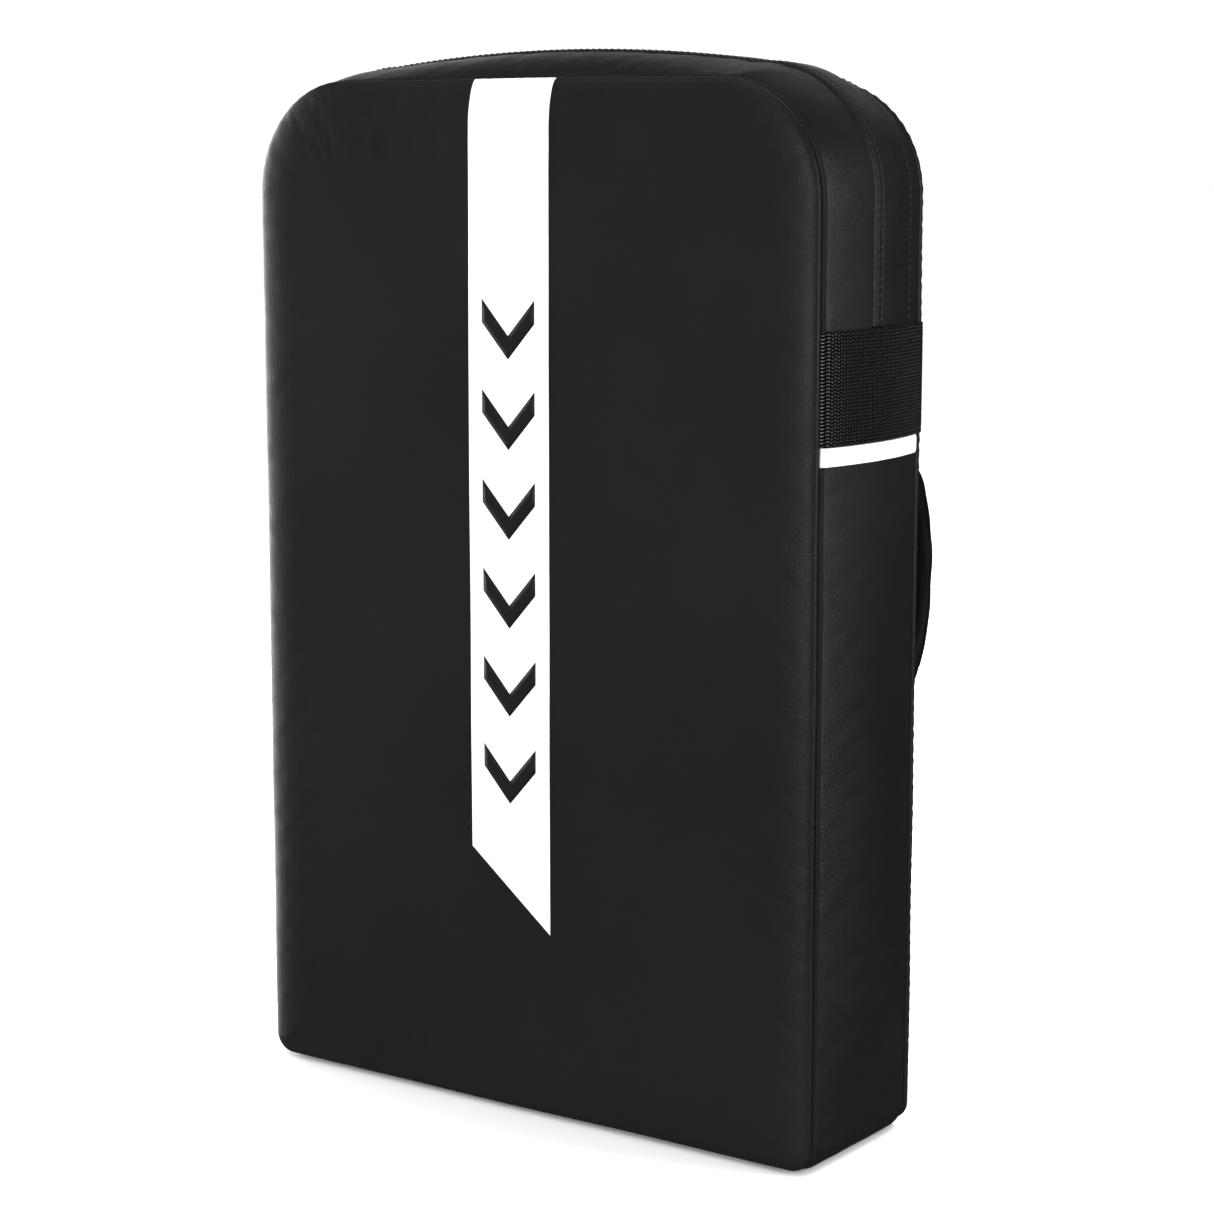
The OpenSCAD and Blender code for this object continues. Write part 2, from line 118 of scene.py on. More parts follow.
def waves(a, b, length, seed, count=7):
    """Smooth unevenness of about -1 to 1 over the plane (a, b), with bumps about `length` across."""
    rng = np.random.default_rng(seed)
    total = np.zeros(np.broadcast(a, b).shape)
    for _ in range(count):
        angle, phase = rng.uniform(0, 2 * np.pi, 2)
        k = 2 * np.pi / (length * rng.uniform(0.7, 1.7))
        total += np.sin(k * (a * math.cos(angle) + b * math.sin(angle)) + phase)
    return total / math.sqrt(count) * 0.8


def dip(x, centre, width):
    """A soft groove of depth 1 at centre."""
    return np.exp(-((x - centre) / width) ** 2)


def lengths(path):
    """Length along a path at each of its points."""
    gaps = np.linalg.norm(np.diff(path, axis=0), axis=1)
    return np.concatenate([[0], np.cumsum(gaps)])


def at_lengths(path, length, at):
    """Points of a path at the lengths `at` along it."""
    return np.stack([np.interp(at, length, path[:, k]) for k in range(path.shape[1])], 1)


# ---- the seam outline


def line(p, q, normal, count):
    t = np.arange(count)[:, None] / count
    points = np.array(p) * (1 - t) + np.array(q) * t
    return np.hstack([points, np.tile(normal, (count, 1))])


def arc(centre, r, start, end, count):
    a = np.radians(start + (end - start) * np.arange(count) / count)
    return np.stack([centre[0] + r * np.cos(a), centre[1] + r * np.sin(a), np.cos(a), np.sin(a)], 1)


def outline(inset=0.0):
    """Rows of x, z and outward normal, anticlockwise from the bottom centre, drawn in by inset."""
    w = HALF_W - inset
    z0 = SEAM_BOTTOM + inset
    z1 = SEAM_TOP - inset
    rt = max(TOP_R - inset, MM)
    rb = max(BASE_R - inset, MM)
    return np.vstack([
        line((0, z0), (w - rb, z0), (0, -1), 60),
        arc((w - rb, z0 + rb), rb, -90, 0, 10),
        line((w, z0 + rb), (w, z1 - rt), (1, 0), 170),
        arc((w - rt, z1 - rt), rt, 0, 90, 40),
        line((w - rt, z1), (rt - w, z1), (0, 1), 86),
        arc((rt - w, z1 - rt), rt, 90, 180, 40),
        line((-w, z1 - rt), (-w, z0 + rb), (-1, 0), 170),
        arc((rb - w, z0 + rb), rb, 180, 270, 10),
        line((rb - w, z0), (0, z0), (0, -1), 60),
    ])


SEAM = outline()
SEAM_LENGTH = lengths(SEAM[:, :2])

# Lengths along the seam at the middles of the two bottom corners
LOW_CORNERS = SEAM_LENGTH[np.isclose(SEAM[:, 3], -math.sqrt(0.5))]


def along_top(x):
    """Length along the seam at a place on its straight top."""
    start = np.argmax((SEAM[:, 3] > 0.999) & (SEAM[:, 0] > 0))
    return SEAM_LENGTH[start] + SEAM[start, 0] - x


def run_between(z_right, z_left, upper):
    """Rows of the seam above or below two heights, with the length along it as a fifth column."""
    full = np.column_stack([SEAM, SEAM_LENGTH])
    right = full[full[:, 0] >= 0]
    left = full[full[:, 0] < 0]
    tall_r = np.interp(z_right, *straight_side(right))
    tall_l = np.interp(z_left, *straight_side(left))
    start = [HALF_W, z_right, 1, 0, tall_r]
    end = [-HALF_W, z_left, -1, 0, tall_l]
    if upper:
        middle = full[np.where(full[:, 0] > 0, full[:, 1] > z_right, full[:, 1] > z_left)]
        return np.vstack([start, middle, end])
    total = SEAM_LENGTH[-1]
    low_right = right[right[:, 1] < z_right]
    low_left = left[left[:, 1] < z_left].copy()
    low_left[:, 4] -= total
    end[4] -= total
    return np.vstack([end, low_left, low_right, start])


def straight_side(rows):
    """Heights and lengths along the seam of one side's rows, in rising order of height."""
    side = rows[np.abs(rows[:, 2]) > 0.999]
    order = np.argsort(side[:, 1])
    return side[order, 1], side[order, 4]


# ---- the shape of the filled cover

# How a panel's edge turns into its seam: depth below the outline, distance from the seam
# Sink below the outline and distance from the seam's middle of the points that turn into a seam
EDGE = np.array([(3.0, 0.25), (2.3, 0.4), (1.5, 0.7), (0.8, 1.15), (0.3, 1.8), (0.08, 2.7), (0.0, 4.0)]) * MM


def gusset_out(run, y):
    """How far the gusset bows out from the outline, for each place of the run and each depth y."""
    down = np.maximum(-run[:, 3], 0)[:, None]
    up = np.maximum(run[:, 3], 0)[:, None]
    grow = smooth((run[:, 1] - SEAM_BOTTOM) / SIDE_RAMP)[:, None]
    along = np.minimum(np.abs(run[:, 0]) / (HALF_W - TOP_R), 1)[:, None]
    arch = 1 - (1 - TOP_SHARE) * along ** 2
    crown = SIDE_CROWN * grow * (1 - down) + (TOP_CROWN - SIDE_CROWN) * arch * up ** 1.5 + BASE_CROWN * down
    bowed = 1 - (y / HALF_D) ** 2
    flat = smooth((HALF_D - np.abs(y)) / (HALF_D - BASE_FLAT))
    return crown * (bowed * (1 - down) + flat * down)


def gusset_grid(run, y, lift):
    """Points of the gusset at the depths y, lifted off its face; y and lift are per column or per point."""
    y = np.broadcast_to(y, (len(run), np.shape(y)[-1]))
    out = gusset_out(run, y) + lift
    x = run[:, 0:1] + run[:, 2:3] * out
    z = run[:, 1:2] + run[:, 3:4] * out
    return np.stack([x, y, z], 2)


BAND_RADIUS = 155 * MM
BAND_STEPS = 260
BAND_DEPTHS = np.linspace(0, 44, 15) * MM
BAND_MOST = 0.7 * MM
BAND_TURN = 30 * MM        # depth over which the band turns into the flat
BAND_RISE = 9 * MM
BAND_PRESSURE = 1.5
BAND_GROWTH = 0.03         # how much too full the leather is cut
LOOSE = 0.02               # how firmly the foam holds an unsewn point


def settled_band():
    """Heights of leather beside a seam, round a ring: cut too full, sewn down at every other point."""
    a = 2 * np.pi * np.arange(BAND_STEPS) / BAND_STEPS
    turn = np.radians(90) * np.clip(BAND_DEPTHS / BAND_TURN, 0, 1)
    r = BAND_RADIUS - BAND_DEPTHS
    z = BAND_RISE * np.sin(turn)
    ring = np.stack([
        np.cos(a)[:, None] * r,
        np.sin(a)[:, None] * r,
        np.broadcast_to(z, (BAND_STEPS, len(r))),
    ], 2)
    verts = ring.reshape(-1, 3)
    held = np.full(ring.shape[:2], LOOSE)
    held[:, -1] = 1
    held[::2, 0] = 1
    faces = grid_faces(BAND_STEPS, len(r), closed_rows=True)
    after = settle(verts, faces, held.ravel(), BAND_PRESSURE, BAND_GROWTH)
    move = (after - verts).reshape(ring.shape)
    n = grid_normals(ring, True)
    height = np.sum(move * n * np.sign(n[..., 2:].mean()), axis=2)
    height -= height.mean(axis=0)
    return np.clip(height, -BAND_MOST, BAND_MOST)


CALM = 40 * MM             # length at each bottom corner where the puckers fade
FINE_RISE = 0.08 * MM
FINE_PITCH = 8.5 * MM
FINE_DRIFT = 31 * MM
FINE_REACH = 7 * MM


def pucker(s, d):
    """Leather drawn in by the stitches of a seam: s along the seam, d away from it."""
    fine = np.sin(2 * np.pi * s / FINE_PITCH + 2.2 * np.sin(s / FINE_DRIFT))
    near = np.exp(-d / FINE_REACH)
    place = np.mod(s / (2 * np.pi * BAND_RADIUS), 1) * BAND_STEPS
    depth = np.clip(d / BAND_DEPTHS[1], 0, len(BAND_DEPTHS) - 1.001)
    i, j = place.astype(int), depth.astype(int)
    calm = 1 - dip(s, LOW_CORNERS[0], CALM) - dip(s, LOW_CORNERS[1], CALM)
    u, v = place - i, depth - j
    k = (i + 1) % BAND_STEPS
    i = i % BAND_STEPS
    low = BAND[i, j] * (1 - u) + BAND[k, j] * u
    high = BAND[i, j + 1] * (1 - u) + BAND[k, j + 1] * u
    return calm * (FINE_RISE * fine * near + low * (1 - v) + high * v)


def grid_normals(grid, closed):
    """Unit normals of a grid of points, to one side or the other by the order of its points."""
    if closed:
        along = np.roll(grid, -1, 0) - np.roll(grid, 1, 0)
    else:
        along = np.gradient(grid, axis=0)
    across = np.gradient(grid, axis=1)
    n = np.cross(along, across)
    n /= np.maximum(np.linalg.norm(n, axis=2, keepdims=True), 1e-12)
    return n


def push(grid, amount, closed, outward):
    """Moves a grid along its normals; outward is a rough direction that says which way they point."""
    n = grid_normals(grid, closed)
    sign = np.sign(np.sum(n * outward, axis=2).mean()) or 1
    return grid + n * sign * amount[..., None]


# ---- meshes


def link_mesh(name, verts, faces, uv=None):
    mesh = bpy.data.meshes.new(name)
    mesh.from_pydata(np.asarray(verts).tolist(), [], faces)
    mesh.update()
    mesh.shade_smooth()
    if uv is not None:
        corners = np.empty(len(mesh.loops), int)
        mesh.loops.foreach_get("vertex_index", corners)
        layer = mesh.uv_layers.new(name="UVMap")
        layer.data.foreach_set("uv", np.asarray(uv)[corners].astype(np.float32).ravel())
    obj = bpy.data.objects.new(name, mesh)
    bpy.context.collection.objects.link(obj)
    return obj


def grid_faces(rows, columns, closed_rows=False, closed_columns=False):
    faces = []
    for i in range(rows if closed_rows else rows - 1):
        for j in range(columns if closed_columns else columns - 1):
            a, b = i * columns, ((i + 1) % rows) * columns
            k = (j + 1) % columns
            faces.append((a + j, b + j, b + k, a + k))
    return faces


def repeated(faces, size, count):
    """The faces of `count` equal parts with `size` points each."""
    return [tuple(size * i + k for k in f) for i in range(count) for f in faces]


def face_outwards(obj, inside):
    """Turns the mesh so that its normals point away from the point `inside`."""
    mesh = obj.data
    away = sum((p.center - Vector(inside)).dot(p.normal) * p.area for p in mesh.polygons)
    if away < 0:
        mesh.flip_normals()


def thicken(obj, thickness):
    """Gives a leather surface its thickness, inwards."""
    solid = obj.modifiers.new("thickness", "SOLIDIFY")
    solid.thickness = thickness
    solid.offset = -1
    return obj


def grid_piece(name, grid, closed=False, cap=False, inside=INSIDE, thickness=LEATHER, uv=None):
    rows, columns = grid.shape[:2]
    faces = grid_faces(rows, columns, closed_rows=closed)
    if cap:
        faces.append([i * columns + columns - 1 for i in range(rows)])
    obj = link_mesh(name, grid.reshape(-1, 3), faces, uv)
    face_outwards(obj, inside)
    if thickness:
        thicken(obj, thickness)
    return obj


def sweep_piece(name, sections, uv=None):
    """A closed skin through equal closed sections, capped at both ends."""
    rows, columns = sections.shape[:2]
    faces = grid_faces(rows, columns, closed_columns=True)
    faces.append(list(range(columns)))
    faces.append([(rows - 1) * columns + j for j in reversed(range(columns))])
    obj = link_mesh(name, sections.reshape(-1, 3), faces, uv)
    volume_outwards(obj)
    return obj


def volume_outwards(obj):
    """Turns a closed mesh inside out if its volume is negative."""
    mesh = obj.data
    mesh.calc_loop_triangles()
    co = np.empty(len(mesh.vertices) * 3)
    mesh.vertices.foreach_get("co", co)
    tri = np.empty(len(mesh.loop_triangles) * 3, int)
    mesh.loop_triangles.foreach_get("vertices", tri)
    p = co.reshape(-1, 3)[tri.reshape(-1, 3)]
    if np.einsum("ij,ij->i", p[:, 0], np.cross(p[:, 1], p[:, 2])).sum() < 0:
        mesh.flip_normals()


def dress(obj, material, replaces=(), body="shield"):
    """Gives a piece its material and its body, and hides the CAD nodes that it stands for."""
    obj.data.materials.clear()
    obj.data.materials.append(material)
    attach(obj, body)
    if replaces:
        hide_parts(*replaces)
    return obj


# ---- cloth simulation

CLOTH_SCALE = 10        # the solver's defaults suit cloth of about a metre
CLOTH_FRAMES = 24


def settle(verts, faces, held, pressure, growth):
    """Points of a leather skin after it has settled: `held` is how firmly each point is kept in its place."""
    obj = link_mesh("settling_leather", verts * CLOTH_SCALE, faces)
    group = obj.vertex_groups.new(name="held")
    for i, weight in enumerate(held):
        group.add([i], float(weight), "REPLACE")
    cloth = obj.modifiers.new("cloth", "CLOTH")
    cloth.point_cache.frame_end = CLOTH_FRAMES
    leather = cloth.settings
    leather.quality = 6
    leather.mass = 0.3
    leather.tension_stiffness = 20
    leather.compression_stiffness = 12
    leather.shear_stiffness = 6
    leather.bending_stiffness = 0.6
    leather.vertex_group_mass = "held"
    leather.shrink_min = -growth
    leather.use_pressure = pressure > 0
    leather.uniform_pressure_force = pressure
    leather.effector_weights.gravity = 0
    scene = bpy.context.scene
    for frame_number in range(1, CLOTH_FRAMES + 1):
        scene.frame_set(frame_number)
    settled = obj.evaluated_get(bpy.context.evaluated_depsgraph_get()).to_mesh()
    points = np.empty(len(verts) * 3)
    settled.vertices.foreach_get("co", points)
    scene.frame_set(1)
    mesh = obj.data
    bpy.data.objects.remove(obj)
    bpy.data.meshes.remove(mesh)
    return points.reshape(-1, 3) / CLOTH_SCALE


def limited(before, after, most):
    """The move from before to after, with no point moving further than `most`."""
    move = after - before
    length = np.maximum(np.linalg.norm(move, axis=1, keepdims=True), 1e-9)
    return before + move * np.minimum(1, most / length)


# ---- materials


class Look:
    """A Principled material that is built up node by node."""

    def __init__(self, name, roughness=0.5, specular=0.5, **sockets):
        self.material = bpy.data.materials.new(name)
        self.material.use_nodes = True
        self.tree = self.material.node_tree
        self.shader = self.tree.nodes["Principled BSDF"]
        self.set("Roughness", roughness)
        self.set("Specular IOR Level", specular)
        for socket, value in sockets.items():
            self.set(socket.replace("_", " ").title(), value)

    def set(self, socket, value):
        self.shader.inputs[socket].default_value = value

    def node(self, kind, _inputs=None, **settings):
        n = self.tree.nodes.new("ShaderNode" + kind)
        for key, value in settings.items():
            setattr(n, key, value)
        for key, value in (_inputs or {}).items():
            if isinstance(value, bpy.types.NodeSocket):
                self.tree.links.new(value, n.inputs[key])
            else:
                n.inputs[key].default_value = value
        return n

    def link(self, output, socket):
        self.tree.links.new(output, self.shader.inputs[socket])

    def place(self):
        return self.node("TexCoord").outputs["Object"]

    def math(self, operation, a, b=0.0, c=0.0):
        return self.node("Math", {0: a, 1: b, 2: c}, operation=operation).outputs[0]

    def noise(self, scale, detail=2.0, vector=None):
        inputs = {"Scale": scale, "Detail": detail, "Vector": vector or self.place()}
        return self.node("TexNoise", inputs).outputs["Fac"]

    def cells(self, scale, feature="F1", vector=None):
        inputs = {"Scale": scale, "Vector": vector or self.place()}
        return self.node("TexVoronoi", inputs, feature=feature).outputs["Distance"]

    def spread(self, value, low, high, start=0.3, end=0.7):
        """Maps value from start..end to low..high."""
        inputs = {"Value": value, "From Min": start, "From Max": end, "To Min": low, "To Max": high}
        return self.node("MapRange", inputs).outputs["Result"]

    def tint(self, value, dark, light):
        """A colour between dark and light, by value."""
        ramp = self.node("ValToRGB", {"Fac": value})
        ramp.color_ramp.elements[0].color = (*dark, 1)
        ramp.color_ramp.elements[1].color = (*light, 1)
        return ramp.outputs["Color"]

    def bump(self, height, distance, strength=1.0, under=None):
        inputs = {"Height": height, "Distance": distance, "Strength": strength}
        if under is not None:
            inputs["Normal"] = under
        return self.node("Bump", inputs).outputs["Normal"]


def grey(v, warm=0.0):
    return (v * (1 + warm), v, v * (1 - warm))


def leather_look(name, albedo, roughness, specular, grain=0.09):
    """Coated leather: pebbled cells with fine creases between them, and slow changes of colour and gloss."""
    look = Look(name, specular=specular)
    slow = look.noise(7, 3)
    patch = look.noise(34, 4)
    worn = look.tint(look.spread(slow, 0, 1), grey(albedo * 0.86, -0.04), grey(albedo * 1.16, -0.06))
    look.link(worn, "Base Color")
    slow_gloss = look.spread(slow, roughness - 0.02, roughness + 0.04)
    gloss = look.math("ADD", look.spread(patch, -0.05, 0.05), slow_gloss)
    look.link(gloss, "Roughness")
    pebbles = look.bump(look.cells(820, "SMOOTH_F1"), grain * MM, 0.9)
    edges = look.spread(look.cells(560, "DISTANCE_TO_EDGE"), 0, 1, 0.0, 0.12)
    creases = look.bump(edges, grain * 0.8 * MM, 0.5, pebbles)
    look.link(look.bump(look.noise(260, 5), 0.12 * MM, 0.25, creases), "Normal")
    return look.material


def print_look(name, albedo, roughness, specular=0.35):
    """Smooth vinyl print on leather, which lets a little of the grain through."""
    look = Look(name, specular=specular)
    slow = look.noise(11, 3)
    look.link(look.tint(look.spread(slow, 0, 1), grey(albedo * 0.975, 0.002), grey(albedo, 0)), "Base Color")
    look.link(look.spread(look.noise(60, 4), roughness - 0.04, roughness + 0.05), "Roughness")
    look.link(look.bump(look.cells(820, "SMOOTH_F1"), 0.03 * MM, 0.5), "Normal")
    return look.material


def webbing_look(name, yarn, painted_gap_shade, column=4.6 * MM, pick=1.85 * MM):
    """Herringbone webbing: columns of slanting yarns that lean one way and then the other along the strap,
    with painted shade in the gaps between yarns and between columns.
    """
    look = Look(name, specular=0.9)
    uv = look.node("SeparateXYZ", {"Vector": look.node("UVMap").outputs["UV"]}).outputs
    place = look.math("DIVIDE", uv["X"], column / 2)
    lean = look.math("PINGPONG", place, 1.0)
    across = look.math("DIVIDE", uv["Y"], pick)
    phase = look.math("MULTIPLY_ADD", lean, 0.5, across)
    yarn_shape = look.math("PINGPONG", phase, 0.5)
    rise = look.spread(yarn_shape, 0, 1, 0.08, 0.38)
    edge = look.spread(look.math("PINGPONG", look.math("ADD", place, 0.5), 0.5), 0.1, 1, 0.0, 0.3)
    height = look.math("MULTIPLY", rise, edge)
    fibres = look.noise(2600, 3)
    # Base colour darker where the weave's height is low: painted shade in the gaps, which the bump can't
    # shade.
    look.link(look.tint(height, painted_gap_shade, yarn), "Base Color")
    # Specular Tint black where the weave's height is low: painted shade on the gloss of the gaps.
    look.link(look.tint(look.math("POWER", height, 2.0), grey(0.0), grey(1.0)), "Specular Tint")
    shine = look.math("MULTIPLY_ADD", fibres, 0.2, height)
    look.link(look.spread(shine, 0.8, 0.26, 0.3, 1.1), "Roughness")
    weave = look.bump(height, 0.45 * MM, 1.0)
    look.link(look.bump(fibres, 0.05 * MM, 0.4, weave), "Normal")
    return look.material


def thread_look(name, colour, light):
    look = Look(name, roughness=0.45, specular=0.3)
    inputs = {"Vector": look.place(), "Scale": 420.0, "Distortion": 1.2}
    twist = look.node("TexWave", inputs, bands_direction="DIAGONAL").outputs["Fac"]
    # Colour darker where the twist is low and lighter where it is raised: painted shade in the grooves
    # between the plies.
    look.link(look.tint(twist, colour, light), "Base Color")
    look.link(look.bump(twist, 0.08 * MM, 0.6), "Normal")
    return look.material


def foam_look(name, dark, light):
    """Closed-cell foam: fine bubbles, some of them larger."""
    look = Look(name, roughness=0.85, specular=0.2)
    bubbles = look.cells(900)
    look.link(look.tint(look.spread(look.noise(90, 4), 0, 1), dark, light), "Base Color")
    look.link(look.spread(look.noise(40, 2), 0.8, 0.92), "Roughness")
    look.link(look.bump(bubbles, 0.2 * MM, 0.6), "Normal")
    return look.material


def tape_look(name, colour, light):
    """Fine twill tape, for the zip and the seam binding, with painted shade between its ribs."""
    look = Look(name, roughness=0.8, specular=0.25)
    twill = look.node("TexWave", {"Vector": look.place(), "Scale": 620.0}, bands_direction="DIAGONAL")
    # Colour darker where the twill is low and lighter on its ribs: painted shade between the ribs.
    look.link(look.tint(twill.outputs["Fac"], colour, light), "Base Color")
    look.link(look.spread(look.noise(70), 0.72, 0.86), "Roughness")
    look.link(look.bump(twill.outputs["Fac"], 0.12 * MM, 0.6), "Normal")
    return look.material


def lacquer_look(name, colour, light, metallic):
    """Black lacquered metal or moulded nylon with handling marks."""
    look = Look(name, specular=0.5)
    look.set("Metallic", metallic)
    look.link(look.tint(look.spread(look.noise(160, 5), 0, 1), colour, light), "Base Color")
    look.link(look.spread(look.noise(420, 4), 0.24, 0.42), "Roughness")
    look.link(look.bump(look.noise(900, 3), 0.02 * MM, 0.3), "Normal")
    return look.material


LEATHER_LOOK = leather_look("black_leather", 0.0048, 0.42, 0.12)
PATCH_LOOK = leather_look("black_leather_patch", 0.0052, 0.46, 0.14, grain=0.10)
# The grip bars' leather: a matter finish, and a colour a third as light as the other black leather, which is
# painted shade.
GRIP_SHADED_LOOK = leather_look("black_leather_grip", 0.0014, 0.5, 0.05, grain=0.10)
WHITE_PRINT = print_look("white_print", 0.82, 0.36, 0.25)
BLACK_PRINT = print_look("black_print", 0.004, 0.4, 0.14)
WHITE_TRIM = print_look("white_trim", 0.80, 0.42, 0.25)
# The second colour is painted shade for the gaps between yarns.
WEBBING = webbing_look("black_webbing", grey(0.0030), grey(0.0003))
THREAD = thread_look("black_thread", grey(0.003), grey(0.009))
FOAM_GREY = foam_look("grey_foam", grey(0.15), grey(0.22))
FOAM_WHITE = foam_look("white_foam", grey(0.66, 0.01), grey(0.78, 0.01))
TAPE = tape_look("black_tape", grey(0.01), grey(0.028))
NYLON = lacquer_look("black_nylon", grey(0.014), grey(0.026), 0.0)
METAL = lacquer_look("black_metal", grey(0.012), grey(0.03), 0.4)

# ---- front and back panels

BAND = settled_band()
PANEL_STEP = 7 * MM
ARC_STEPS = 14


def panel_edges(round_, bulge):
    """Inset and distance from the seam of each ring of a panel, from its seam to its middle."""
    a = np.radians(np.linspace(0, 90, ARC_STEPS + 1)[1:])
    rise = bulge - EDGE[-1, 1]
    curve = np.column_stack([round_ * (1 - np.cos(a)), EDGE[-1, 1] + rise * np.sin(a)])
    flat_insets = np.arange(round_ + 2 * MM, HALF_W - 1.5 * MM, PANEL_STEP)
    flat = np.column_stack([flat_insets, np.full(len(flat_insets), bulge)])
    return np.vstack([EDGE, curve, flat])


def pillow(x, z, height):
    """Slow crown of a panel's flat."""
    middle = (SEAM_BOTTOM + SEAM_TOP) / 2
    half = (SEAM_TOP - SEAM_BOTTOM) / 2
    return height * np.clip(1 - (x / HALF_W) ** 2, 0, 1) * np.clip(1 - ((z - middle) / half) ** 4, 0, 1)


def panel_relief(s, inset, x, z, height, seed, drawn):
    """All that a panel's face rises above its plain shape; drawn is how strongly its seam puckers it."""
    return drawn * pucker(s, inset) + pillow(x, z, height) + 0.22 * MM * waves(x, z, 120 * MM, seed)


def panel_grid(toward, round_, bulge, height, seed, drawn):
    rings = panel_edges(round_, bulge)
    columns = []
    for inset, ahead in rings:
        o = outline(inset)
        columns.append(np.stack([o[:, 0], np.full(len(o), toward * (HALF_D + ahead)), o[:, 1]], 1))
    grid = np.stack(columns, 1)
    s = np.broadcast_to(SEAM_LENGTH[:, None], grid.shape[:2])
    inset = np.broadcast_to(rings[:, 0], grid.shape[:2])
    relief = panel_relief(s, inset, grid[..., 0], grid[..., 2], height, seed, drawn)
    return push(grid, relief, True, np.array([0, toward, 0]))


FRONT_BULGE = -FRONT_Y - HALF_D
BACK_BULGE = BACK_Y - HALF_D
FRONT_PILLOW = 1.6 * MM
BACK_PILLOW = 0.6 * MM
FRONT_SEED = 21
BACK_SEED = 22
FRONT_DRAWN = 0.25
BACK_DRAWN = 0.6

front_grid = panel_grid(-1, FRONT_ROUND, FRONT_BULGE, FRONT_PILLOW, FRONT_SEED, FRONT_DRAWN)
front = grid_piece("front_panel_leather", front_grid, closed=True, cap=True)
dress(front, LEATHER_LOOK, ["front_panel"])

back_grid = panel_grid(1, BACK_ROUND, BACK_BULGE, BACK_PILLOW, BACK_SEED, BACK_DRAWN)
back = grid_piece("back_panel_leather", back_grid, closed=True, cap=True)
dress(back, LEATHER_LOOK, ["back_panel"])

# ---- stripe


def front_relief(x, z):
    """The front panel's relief near the stripe, where the nearest seam is the top one."""
    return panel_relief(along_top(x), SEAM_TOP - z, x, z, FRONT_PILLOW, FRONT_SEED, FRONT_DRAWN)


def stripe_grid(left, right, z_low_left, z_low_right, lift, columns=18, rows=90):
    """The stripe's face: over the panel's rounded top edge, then down to its slanted end."""
    x = np.linspace(left, right, columns)
    a = np.radians(np.linspace(6, 90, 22))
    rise = FRONT_BULGE - EDGE[-1, 1]
    inset = FRONT_ROUND * (1 - np.cos(a))
    ahead = EDGE[-1, 1] + rise * np.sin(a)
    z_low = z_low_left + (z_low_right - z_low_left) * (x - left) / (right - left)
    flat_t = np.linspace(0, 1, rows)[1:, None]
    z_curve = np.broadcast_to((SEAM_TOP - inset)[:, None], (len(inset), columns))
    z_flat = (SEAM_TOP - FRONT_ROUND) * (1 - flat_t) + z_low * flat_t
    z = np.vstack([z_curve, z_flat])
    y = -HALF_D - np.concatenate([ahead, np.full(rows - 1, FRONT_BULGE)])
    xs = np.broadcast_to(x, z.shape)
    grid = np.stack([xs, np.broadcast_to(y[:, None], z.shape), z], 2)
    relief = front_relief(xs, z)
    return push(grid, relief + lift, False, np.array([0, -1, 0]))


PRINT_T = 0.35 * MM

stripe_face = stripe_grid(stripe_lo.x, stripe_hi.x, stripe_lo.z + STRIPE_SLANT, stripe_lo.z, PRINT_T)
stripe = grid_piece("white_stripe_print", stripe_face, thickness=PRINT_T * 0.8)
dress(stripe, WHITE_PRINT, ["front_stripe"])


def chevron_rows(z_tip, width, drop, height, lift, columns=13, rows=4):
    """One chevron on the stripe, as a grid that bends at its middle."""
    centre = (stripe_lo.x + stripe_hi.x) / 2
    t = np.linspace(-1, 1, columns)
    x = centre + t * width / 2
    x = np.broadcast_to(x, (rows, columns))
    z = z_tip + np.abs(t) * drop + np.linspace(0, 1, rows)[:, None] * height
    y = np.full(z.shape, FRONT_Y)
    grid = np.stack([x, y, z], 2)
    relief = front_relief(x, z)
    grid[..., 1] -= relief + lift
    return grid


def stripe_chevrons():
    """The chevrons that the CAD node holds, laid on the crowned stripe."""
    lo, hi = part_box("stripe_marks")
    count = 6
    pitch = 50 * MM
    drop = 20 * MM
    height = (hi.z - lo.z) - (count - 1) * pitch - drop
    lift = PRINT_T + 0.22 * MM
    grids = [chevron_rows(lo.z + i * pitch, hi.x - lo.x, drop, height, lift) for i in range(count)]
    rows, columns = grids[0].shape[:2]
    faces = repeated(grid_faces(rows, columns), rows * columns, count)
    obj = link_mesh("stripe_chevrons_print", np.vstack([g.reshape(-1, 3) for g in grids]), faces)
    face_outwards(obj, INSIDE)
    thicken(obj, 0.2 * MM)
    return dress(obj, BLACK_PRINT, ["stripe_marks"])


stripe_chevrons()

# ---- gusset


def edge_columns(sign):
    """Depths and sinks of the columns that turn into a seam, from the seam inwards."""
    return sign * (HALF_D - EDGE[:, 1]), -EDGE[:, 0]


# Where a panel ends at the zip its edge is folded in: distances from the edge, and heights
FOLD = np.array([0, 0.05, 0.4, 1.2]) * MM
FOLD_SINK = np.array([-1.2, -0.5, -0.12, 0]) * MM


def gusset_columns(start, end, step=3 * MM):
    """Depths and sinks across a gusset panel; an end at a seam turns into it, any other is folded."""
    if start <= -HALF_D:
        head, head_sink = edge_columns(-1)
        first = head[-1] + step
    else:
        head, head_sink = start + FOLD, FOLD_SINK
        first = head[-1] + step / 2
    if end >= HALF_D:
        tail, tail_sink = edge_columns(1)
        last = tail[-1] - step
    else:
        tail, tail_sink = end - FOLD, FOLD_SINK
        last = tail[-1] - step / 2
    middle = np.linspace(first, last, max(int(round((last - first) / step)) + 1, 2))
    y = np.concatenate([head, middle, tail[::-1]])
    return y, np.concatenate([head_sink, 0 * middle, tail_sink[::-1]])


GUSSET_DRAWN = 0.25        # how strongly its seams pucker it
GUSSET_UNEVEN = 0.12 * MM
ROW_DEPTH = 0.35 * MM      # how deep a stitched row presses in
ROW_HALF = 1.3 * MM


